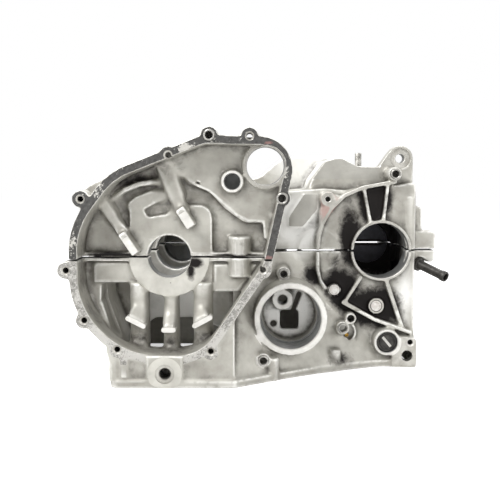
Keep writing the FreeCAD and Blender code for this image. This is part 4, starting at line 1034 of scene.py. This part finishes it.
    def lower_cuts(self) -> list[Cutter]:
        """Cuts of the lower casting only.

        Returns:
            The cutters, in the order in which they cut.
        """
        face = self.flange + self.shave
        cuts = [
            slab("pale_gasket", (-120, -60, -89.5), (140, face, 5)),
            slab("pale_gasket", (-120, -60, -97.5), (-19.5, face, -89.5)),
            slab("pale_gasket", (15.5, -60, -97.5), (140, face, -89.5)),
            slab("machined", (-120, -60, -140), (300, 260, -120 + self.shave)),
            bore("pad", 0, 0, -9, self.shave, 38.4),
            bore("pad", -2, -106.8, -60, -33 + self.shave, 16.2),
            bore("machined", -2, -106.8, -40, -31, 8.9),
            rim("machined", -2, -106.8, -31, 5.3, 1.0),
            bore("tapped", -2, -106.8, -40, -9, 5.3),
            bore("bright", 116.8, -60.7, -12, self.shave, 38),
            rim("bright", 116.8, -60.7, self.shave, 29.4, 1.2),
            bore("bored", 116.8, -60.7, -10, 30, 29.4),
            bore("bored", 116.8, -60.7, -10, 30.9, 27.4),
            bore("bright", 110.1, -46.4, 26, 31 + self.shave, 11.3),
            rim("bright", 110.1, -46.4, 31 + self.shave, 4.8, 1.0),
            bore("tapped", 110.1, -46.4, 25, 60, 4.8),
            bore("tapped", 101.3, -73.2, 42, 65, 3.2),
            bore("bright", 219.1, -94.2, 40, 50 + self.shave, 14.6),
            rim("bright", 219.1, -94.2, 50 + self.shave, 10.82, 1.0),
            bore("bored", 219.1, -94.2, 40, 65, 10.82),
            bore("machined", 209.1, -58, 50, 63 + self.shave, 9.4),
            bore("machined", 165.3, -41, 50, 63 + self.shave, 8),
            bore("bored", 209.1, -58, 50, 71, 5.62),
            bore("bored", 165.3, -41, 50, 71, 5.62),
            bore("machined", 175.6, -84, 53, 66, 9.5),
            slab("machined", (156, 40, -62), (252, 60 + self.shave, -24)),
            slab("machined", (182, 40, -24), (258, 60 + self.shave, 5)),
            bore("bright", 181.5, -69.5, 40, 52 + self.shave, 6.4),
            bore("tapped", 181.5, -69.5, 45, 68, 3.7),
            slab("machined", (224, 40, -119), (252, 50 + self.shave, -86)),
            rim("bright", 242.8, -94.1, 50 + self.shave, 2.7, 1.6),
            bore("tapped", 242.8, -94.1, 40, 64, 2.7),
            bore("tapped", 239.6, -108.1, 40, 67, 5.5),
            Cutter("tapped", base=(263, 85, -40), axis=(0, 0, 1), length=50, radius=3.3),
        ]
        for (x, z), level in (((90.2, -99.3), -8), ((111, -20.3), 30), ((172.5, -78.4), 46)):
            cuts.append(bore("bright", x, z, level - 8, level + self.shave, 7.6))
            cuts.append(bore("tapped", x, z, level - 8, level + 11, 5.02))
        pan_screws = ((99.4, -1.5), (163.5, 37), (241, 57), (241, 170), (96, 171), (-48, 171), (-48, 70),
                      (-46, -24))
        cuts += [Cutter("tapped", base=(x, y, -140), axis=(0, 0, 1), length=34, radius=2.6)
                 for x, y in pan_screws]
        return cuts

    def leg_pads(self) -> list[Cutter]:
        """Slim milled pads with round ends at the feet of the three legs, as boxes and cylinders.

        Returns:
            The boxes and cylinders that are joined to the casting.
        """
        if self.half is Half.UPPER:
            return []
        pads = []
        for angle, width in ((-27, 16.2), (0, 9), (28, 16.6)):
            along, reach = math.radians(angle - 90), 68.6
            x, z = reach * math.cos(along), reach * math.sin(along)
            side = (-math.sin(along) * width / 2, math.cos(along) * width / 2)
            start, end = (x - side[0], z - side[1]), (x + side[0], z + side[1])
            pads.append(plank("bright", start, end, 4.6, -14, -3))
            pads += [bore("bright", *end_place, -14, -3, 2.3) for end_place in (start, end)]
        return pads

    def deck_cut(self) -> Cutter:
        """Tilted box above the cylinder deck.

        Returns:
            The cutter.
        """
        tilt = math.radians(self.deck_tilt)
        near, far, rear, front = 96 - self.shave, 99, 42, -49
        up, across = (near + far) / 2, (rear + front) / 2
        x = -up * math.sin(tilt) + across * math.cos(tilt)
        z = up * math.cos(tilt) + across * math.sin(tilt)
        half = ((rear - front) / 2, (far - near) / 2)
        low, high = (x - half[0], 14, z - half[1]), (x + half[0], 180, z + half[1])
        return Cutter("machined", low=low, high=high, turn=self.deck_tilt)

    def added_forms(self) -> list[Cutter]:
        """Cast forms joined to the copy before it is rounded: rib roots, round legs and closed walls.

        Returns:
            The boxes and cylinders.
        """
        if self.half is Half.UPPER:
            return [
                plank("cast", (-5, 92), (9, 55), 16, -8.5, 7),
                plank("cast", (9, 55), (14.5, 42), 12.5, -8.5, 2),
                plank("cast", (-68, 62), (-52, 38), 12, -7, 7),
                slab("cast", (-40, 167.2, -0.7), (58, 171.6, 3)),
            ]
        legs = ((-29.8, 3.4, 8.4), (1.3, 2.6, 6.4), (32.0, 4.0, 9.2))
        return [plank("cast", (-68, -45), (-58.5, -75.3), 4.4, 5, 25)] + [
            Cutter("cast", base=(x, y, -93), axis=(0, 0, 1), length=68, radius=radius)
            for x, y, radius in legs]

    def removed_forms(self) -> list[Cutter]:
        """Parts of the leg pads that stand out beside the legs, which go before the casting is rounded.

        Returns:
            The boxes that are cut away.
        """
        if self.half is Half.UPPER:
            return []
        return [
            slab("cast", (-21.3, -20, -70), (-7.2, 4.4, -38)),
            slab("cast", (-48, -20, -75), (-38.4, 4.4, -40)),
            slab("cast", (9, -20, -70), (22.6, 4.4, -38)),
            slab("cast", (41.4, -20, -66), (50, 4.4, -40)),
        ]

    def copied(self, source: bpy.types.Object, material: bpy.types.Material) -> bpy.types.Object:
        """Copy the CAD node with its loose triangles merged and its extra cast forms added.

        Args:
            source: the CAD node.
            material: finish of the casting.

        Returns:
            The copy, in the scene.
        """
        mesh = source.data.copy()
        work = bmesh.new()
        work.from_mesh(mesh)
        bmesh.ops.remove_doubles(work, verts=work.verts, dist=1e-6)
        work.to_mesh(mesh)
        work.free()
        skin = bpy.data.objects.new(f"{self.half.value}_skin", mesh)
        bpy.context.scene.collection.objects.link(skin)
        self.cut_by(skin, [("DIFFERENCE", form) for form in self.removed_forms()], material)
        work = bmesh.new()
        work.from_mesh(skin.data)
        for form in self.added_forms():
            piece = form.build(material)
            work.from_mesh(piece.data)
            bpy.data.objects.remove(piece)
        work.to_mesh(skin.data)
        work.free()
        return skin

    def cut_by(self, thing: bpy.types.Object, steps: list[tuple[str, Cutter]],
               material: bpy.types.Material) -> None:
        """Cut or join boxes and cylinders of one finish, before the casting is rounded.

        Args:
            thing: object that is changed.
            steps: name of the operation and the form for each step.
            material: finish of the forms.
        """
        for operation, form in steps:
            piece = form.build(material)
            change = thing.modifiers.new("form", "BOOLEAN")
            change.operation, change.solver, change.object = operation, "MANIFOLD", piece
            self.applied(thing)
            bpy.data.objects.remove(piece)

    @staticmethod
    def applied(thing: bpy.types.Object) -> None:
        """Put the result of the live modifiers into the mesh.

        Args:
            thing: object with modifiers.
        """
        graph = bpy.context.evaluated_depsgraph_get()
        mesh = bpy.data.meshes.new_from_object(thing.evaluated_get(graph), depsgraph=graph)
        thing.modifiers.clear()
        old = thing.data
        thing.data = mesh
        bpy.data.meshes.remove(old)

    def rounded(self, skin: bpy.types.Object) -> None:
        """Remesh the copy, fill its corners, round its edges, measure its hollows and thin it.

        Args:
            skin: copy of the CAD node.
        """
        remesh = skin.modifiers.new("remesh", "REMESH")
        remesh.mode = "VOXEL"
        remesh.voxel_size = self.voxel * MM
        self.applied(skin)
        dense = DenseMesh(skin.data)
        dense.fill_corners(self.rounding)
        for centre, reach in self.soft_places():
            dense.soften(centre, reach, self.softening)
        # The hollow measure drives the near-white outer edges, partly a painted highlight, and the deep
        # measure drives the painted shade in corners.
        dense.store_hollow("hollow", 5, 0.5)
        dense.store_hollow("deep", 30, 1.6)
        LOG.info("%s: %d dense vertices", skin.name, len(skin.data.vertices))
        thin = skin.modifiers.new("thin", "DECIMATE")
        thin.ratio = self.keep
        self.applied(skin)

    def machine(self, skin: bpy.types.Object, palette: Palette) -> None:
        """Cut the machined faces and bores into the rounded skin.

        Args:
            skin: the rounded skin.
            palette: finishes.
        """
        skin.data.materials.clear()
        skin.data.materials.append(palette.get("cast"))
        own = self.upper_cuts() + [self.deck_cut()] if self.half is Half.UPPER else self.lower_cuts()
        steps = [("DIFFERENCE", cut) for cut in self.shared_cuts() + own]
        steps += [("UNION", pad) for pad in self.leg_pads()]
        cutters = [cut.build(palette.get(cut.finish)) for _, cut in steps]
        for (operation, _), cutter in zip(steps, cutters):
            cut = skin.modifiers.new("cut", "BOOLEAN")
            cut.operation, cut.solver, cut.material_mode = operation, "MANIFOLD", "TRANSFER"
            cut.object = cutter
        self.applied(skin)
        for cutter in cutters:
            mesh = cutter.data
            bpy.data.objects.remove(cutter)
            bpy.data.meshes.remove(mesh)

    def build(self, frame: dict[str, Any], palette: Palette) -> bpy.types.Object:
        """Make the casting's skin and let it stand for its CAD node.

        Args:
            palette: finishes.

        Returns:
            The finished skin.
        """
        skin = self.copied(frame["nodes"][self.half.value], palette.get("cast"))
        self.rounded(skin)
        self.machine(skin, palette)
        skin.data.polygons.foreach_set("use_smooth", np.ones(len(skin.data.polygons), dtype=bool))
        skin.data.set_sharp_from_angle(angle=math.radians(40))
        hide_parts(self.half.value)
        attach(skin, "root")
        LOG.info("%s: %d faces", skin.name, len(skin.data.polygons))
        return skin


@dataclass
class HollowDowels:
    """Hollow dowels of the covers: chamfered tubes that stand out of their seats.

    Attributes:
        seats: x, z and face level of each seat in millimetres.
        outer: outer radius in millimetres.
        bore: radius of the hole in millimetres.
        length: length in millimetres.
        stand: how far a dowel stands out in millimetres.
        chamfer: size of the chamfers in millimetres.
    """

    seats: tuple[tuple[float, float, float], ...] = (
        (40.2, 114.1, -32), (106.6, 56.8, -32), (90.2, -99.3, -8), (111, -20.3, 30), (172.5, -78.4, 46),
        (224.9, 79, 52),
    )
    outer: float = 5.0
    bore: float = 3.6
    length: float = 14.0
    stand: float = 3.0
    chamfer: float = 0.5

    def build(self, palette: Palette) -> bpy.types.Object:
        """Turn all dowels as one piece.

        Args:
            palette: finishes.

        Returns:
            The finished piece.
        """
        c, low, high = self.chamfer, 0.0, self.length
        profile = np.array([
            [self.bore, low + c], [self.bore + c, low], [self.outer - c, low], [self.outer, low + c],
            [self.outer, high - c], [self.outer - c, high], [self.bore + c, high], [self.bore, high - c],
        ])
        parts = [lathe(profile, Vector((x, face - self.stand, z)), Vector((0, 1, 0)))
                 for x, z, face in self.seats]
        thing = mesh_object("hollow_dowels", *gathered(parts))
        thing.data.materials.append(palette.get("steel"))
        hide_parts("cover_dowels")
        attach(thing, "root")
        LOG.info("hollow_dowels: %d", len(self.seats))
        return thing


@dataclass
class HoseNipple:
    """Steel hose nipple with a collar and a beaded tip.

    Attributes:
        root: place on the boss in millimetres.
        direction: direction of the tube.
        outer: outer radius in millimetres.
        bore: radius of the hole in millimetres.
        collar: radius of the collar in millimetres.
        seat: length inside the boss in millimetres.
        length: whole length in millimetres.
    """

    root: tuple[float, float, float] = (250, 84, -13)
    direction: tuple[float, float, float] = (0.625, -0.722, -0.295)
    outer: float = 5.5
    bore: float = 3.6
    collar: float = 7.4
    seat: float = 12.0
    length: float = 51.0

    def build(self, palette: Palette) -> bpy.types.Object:
        """Turn the nipple about its own axis.

        Args:
            palette: finishes.

        Returns:
            The finished piece.
        """
        axis = Vector(self.direction).normalized()
        base = Vector(self.root) + axis * (6 - self.seat)
        s, n, r = self.seat, self.length, self.outer
        profile = np.array([
            [self.bore, 0.4], [self.bore + 0.4, 0], [r - 0.5, 0], [r, 0.5], [r, s], [self.collar - 0.5, s],
            [self.collar, s + 0.5], [self.collar, s + 4.2], [self.collar - 0.6, s + 5], [r - 0.2, s + 5],
            [r - 0.7, s + 6.5], [r - 0.7, n - 7], [r - 0.4, n - 6], [r, n - 5], [r, n - 1],
            [r - 0.4, n - 0.2], [r - 0.9, n], [self.bore + 0.4, n], [self.bore, n - 0.5],
        ])
        thing = mesh_object("steel_hose_nipple", *lathe(profile, base, axis, 64))
        thing.data.materials.append(palette.get("oxide"))
        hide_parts("hose_nipple")
        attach(thing, "root")
        LOG.info("steel_hose_nipple: 1")
        return thing


@dataclass
class GalleryPlugs:
    """Two pressed plugs with a shallow turned ring.

    Attributes:
        seats: x and z of each plug in millimetres.
        face: level of their front in millimetres.
        radius: outer radius in millimetres.
        length: length in millimetres.
    """

    seats: tuple[tuple[float, float], ...] = ((209.1, -58), (165.3, -41))
    face: float = 63.0
    radius: float = 5.6
    length: float = 8.0

    def build(self, palette: Palette) -> bpy.types.Object:
        """Turn both plugs as one piece.

        Args:
            palette: finishes.

        Returns:
            The finished piece.
        """
        r = self.radius
        profile = np.array([
            [AXIS_RADIUS, 0.1], [r - 2.2, 0.2], [r - 1.9, 0.6], [r - 1.5, 0.6], [r - 1.3, 0.0],
            [r - 0.4, 0.0], [r, 0.5], [r, self.length], [AXIS_RADIUS, self.length],
        ])
        parts = [lathe(profile, Vector((x, self.face, z)), Vector((0, 1, 0))) for x, z in self.seats]
        thing = mesh_object("pressed_gallery_plugs", *gathered(parts))
        thing.data.materials.append(palette.get("plug"))
        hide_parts("gallery_plugs")
        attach(thing, "root")
        LOG.info("pressed_gallery_plugs: %d", len(self.seats))
        return thing


@dataclass
class ScrewPlug:
    """Large dark screw plug with a raised ring and one slot.

    Attributes:
        centre: x and z of its axis in millimetres.
        face: level of its ring in millimetres.
        radius: outer radius in millimetres.
        depth: length in millimetres.
        slot_width: width of the slot in millimetres.
        slot_reach: half length of the slot in millimetres.
        slot_angle: angle of the slot below level in degrees.
    """

    centre: tuple[float, float] = (219.1, -94.2)
    face: float = 54.0
    radius: float = 10.8
    depth: float = 11.0
    slot_width: float = 2.6
    slot_reach: float = 6.6
    slot_angle: float = 50.0

    def build(self, palette: Palette) -> bpy.types.Object:
        """Turn the plug and cut its slot.

        Args:
            palette: finishes.

        Returns:
            The finished piece.
        """
        (x, z), r = self.centre, self.radius
        profile = np.array([
            [AXIS_RADIUS, 0.5], [r - 3.6, 0.5], [r - 3.2, 0.9], [r - 2.6, 0.9], [r - 2.2, 0.0],
            [r - 1.0, 0.0], [r - 0.6, 0.6], [r - 0.5, 1.4], [r, 1.8], [r, self.depth],
            [AXIS_RADIUS, self.depth],
        ])
        turned = lathe(profile, Vector((x, self.face, z)), Vector((0, 1, 0)), 72)
        thing = mesh_object("slotted_screw_plug", *turned)
        thing.data.materials.append(palette.get("oxide"))
        thing.data.materials.append(palette.get("bright"))
        angle = math.radians(self.slot_angle)
        run = (self.slot_reach * math.cos(angle), -self.slot_reach * math.sin(angle))
        start, end = (x - run[0], z - run[1]), (x + run[0], z + run[1])
        slot = plank("bright", start, end, self.slot_width, self.face - 1, self.face + 2)
        slot = slot.build(palette.get("bright"))
        cut = thing.modifiers.new("slot", "BOOLEAN")
        cut.operation, cut.solver, cut.material_mode, cut.object = "DIFFERENCE", "EXACT", "TRANSFER", slot
        Casting.applied(thing)
        bpy.data.objects.remove(slot)
        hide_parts("slotted_plug")
        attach(thing, "root")
        LOG.info("slotted_screw_plug: 1")
        return thing


@dataclass
class DeckStud:
    """Threaded stud in the far side of the gearbox hump.

    Attributes:
        foot: foot of its axis in millimetres.
        radius: outer radius of the thread in millimetres.
        length: length in millimetres.
        pitch: pitch of the thread in millimetres.
        depth: depth of the thread in millimetres.
    """

    foot: tuple[float, float, float] = (200, 150, 79)
    radius: float = 4.0
    length: float = 24.0
    pitch: float = 1.25
    depth: float = 0.55

    def build(self, palette: Palette) -> bpy.types.Object:
        """Make the stud as one grid of height and angle.

        The radius is the outer radius less a triangle wave whose phase moves once round the stud per
        pitch, and it shrinks over the last millimetre at both ends.

        Args:
            palette: finishes.

        Returns:
            The finished piece.
        """
        turns, rows = 40, int(self.length / self.pitch * 8)
        height = np.linspace(0, self.length, rows)[:, None]
        angle = np.linspace(0, 2 * np.pi, turns, endpoint=False)[None, :]
        phase = (height / self.pitch - angle / (2 * np.pi)) % 1
        radius = self.radius - self.depth * np.abs(2 * phase - 1)
        end = np.minimum(height, self.length - height)
        radius = np.minimum(radius, self.radius - 1.0 + end)
        radius[[0, -1]] = AXIS_RADIUS
        x, y, z = self.foot
        points = np.stack([x + radius * np.cos(angle), y + radius * np.sin(angle), z + height + 0 * angle],
                          axis=-1)
        i, j = np.meshgrid(np.arange(rows - 1), np.arange(turns), indexing="ij")
        after = (j + 1) % turns
        faces = np.stack([i * turns + j, i * turns + after, (i + 1) * turns + after, (i + 1) * turns + j],
                         axis=-1)
        thing = mesh_object("threaded_deck_stud", points.reshape(-1, 3), faces.reshape(-1, 4))
        thing.data.materials.append(palette.get("steel"))
        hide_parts("deck_stud")
        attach(thing, "root")
        LOG.info("threaded_deck_stud: 1")
        return thing


@dataclass
class Studio:
    """White table, soft light and the photograph's camera.

    Attributes:
        camera_at: camera's place in metres.
        camera_down: angle below level in degrees.
        lens: focal length in millimetres on a 36 mm sensor.
        floor: height of the table in metres.
        glow: light that the table adds for the camera, so that it shows white.
        ambient: strength of the light from all round.
    """

    camera_at: tuple[float, float, float] = (0.0774, -0.7624, 0.078)
    camera_down: float = 5.356
    lens: float = 57.6
    floor: float = -0.12
    glow: float = 0.61
    ambient: float = 0.42

    def camera(self) -> None:
        """Place the camera at the photograph's viewing angle."""
        data = bpy.data.cameras.new("camera")
        data.lens, data.sensor_width, data.sensor_fit = self.lens, 36.0, "HORIZONTAL"
        data.clip_start = 0.01
        camera = bpy.data.objects.new("camera", data)
        camera.location = self.camera_at
        camera.rotation_euler = (math.radians(90 - self.camera_down), 0, 0)
        bpy.context.scene.collection.objects.link(camera)
        bpy.context.scene.camera = camera

    def lamp(self, name: str, place: tuple[float, float, float], aim: tuple[float, float, float],
             size: float, power: float) -> None:
        """Add one square area lamp.

        Args:
            name: name of the lamp.
            place: its place in metres.
            aim: point that it faces, in metres.
            size: side length in metres.
            power: power in watts.
        """
        data = bpy.data.lights.new(name, "AREA")
        data.shape, data.size, data.energy = "SQUARE", size, power
        lamp = bpy.data.objects.new(name, data)
        lamp.location = place
        lamp.rotation_euler = (Vector(aim) - Vector(place)).to_track_quat("-Z", "Y").to_euler()
        lamp.visible_camera = False
        bpy.context.scene.collection.objects.link(lamp)

    def table(self) -> None:
        """Lay a white table that shows white to the camera and keeps the object's shadow."""
        half = 6.0
        points = np.array([[-half, -half, self.floor], [half, -half, self.floor], [half, half, self.floor],
                           [-half, half, self.floor]]) / MM
        table = mesh_object("table", points, np.array([[0, 1, 2, 3]]), False)
        material = bpy.data.materials.new("white_table")
        material.use_nodes = True
        tree = material.node_tree
        tree.nodes.clear()
        matt = add_node(tree, "ShaderNodeBsdfDiffuse", None, Color=(0.93, 0.93, 0.93, 1))
        glow = add_node(tree, "ShaderNodeEmission", None, Color=(1, 1, 1, 1), Strength=self.glow)
        seen = add_node(tree, "ShaderNodeLightPath").outputs["Is Camera Ray"]
        lit = add_node(tree, "ShaderNodeAddShader", None, i0=matt, i1=glow)
        both = add_node(tree, "ShaderNodeMixShader", None, i0=seen, i1=matt, i2=lit)
        add_node(tree, "ShaderNodeOutputMaterial", None, Surface=both)
        table.data.materials.append(material)

    def world(self) -> None:
        """Light the scene from all round, and show white to the camera and in gloss."""
        world = bpy.data.worlds.new("world")
        world.use_nodes = True
        bpy.context.scene.world = world
        tree = world.node_tree
        tree.nodes.clear()
        path = add_node(tree, "ShaderNodeLightPath")
        seen = add_node(tree, *HIGHEST, i0=path.outputs["Is Camera Ray"], i1=path.outputs["Is Glossy Ray"])
        seen = add_node(tree, *HIGHEST, i0=seen, i1=path.outputs["Is Transmission Ray"])
        ambient = add_node(tree, "ShaderNodeBackground", None, Color=(1, 1, 1, 1), Strength=self.ambient)
        white = add_node(tree, "ShaderNodeBackground", None, Color=(1, 1, 1, 1), Strength=1.0)
        both = add_node(tree, "ShaderNodeMixShader", None, i0=seen, i1=ambient, i2=white)
        add_node(tree, "ShaderNodeOutputWorld", None, Surface=both)

    def build(self) -> None:
        """Set up the camera, the lamps, the table and the world."""
        self.camera()
        self.table()
        self.world()
        self.lamp("key", (-0.55, -0.75, 0.85), (0.08, 0, 0), 0.55, 13.0)
        self.lamp("fill", (0.9, -0.6, 0.3), (0.15, 0, 0), 0.8, 4.0)
        self.lamp("deck", (-0.45, 0.08, 0.95), (0.02, 0.08, 0), 0.5, 9.0)
        self.lamp("back", (0.5, 0.7, 0.9), (0.15, 0.1, 0), 0.8, 6.0)
        self.lamp("bay", (0.0, 0.049, 0.035), (0.0, 0.08, -0.08), 0.04, 0.03)
        scene = bpy.context.scene
        scene.view_settings.view_transform = "Standard"
        LOG.info("studio: camera, 5 lamps, table and world")


def dress_nodes(frame: dict[str, Any], palette: Palette) -> None:
    """Give the CAD nodes that stay their finishes.

    Args:
        palette: finishes.
    """
    finishes = {"oil_jet": "brass", "joint_dowels": "steel"}
    for node, finish in finishes.items():
        mesh = frame["nodes"][node].data
        for i in range(max(len(mesh.materials), 1)):
            if len(mesh.materials):
                mesh.materials[i] = palette.get(finish)
            else:
                mesh.materials.append(palette.get(finish))
        LOG.info("%s: %s", node, finish)


def main() -> None:
    """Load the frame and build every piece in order."""
    logging.basicConfig(level=logging.INFO, format="%(name)s: %(message)s")
    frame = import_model()
    palette = Palette()
    for half in Half:
        Casting(half).build(frame, palette)
    for fitting in (HollowDowels(), HoseNipple(), GalleryPlugs(), ScrewPlug(), DeckStud()):
        fitting.build(palette)
    dress_nodes(frame, palette)
    Studio().build()


if __name__ == "__main__":
    main()
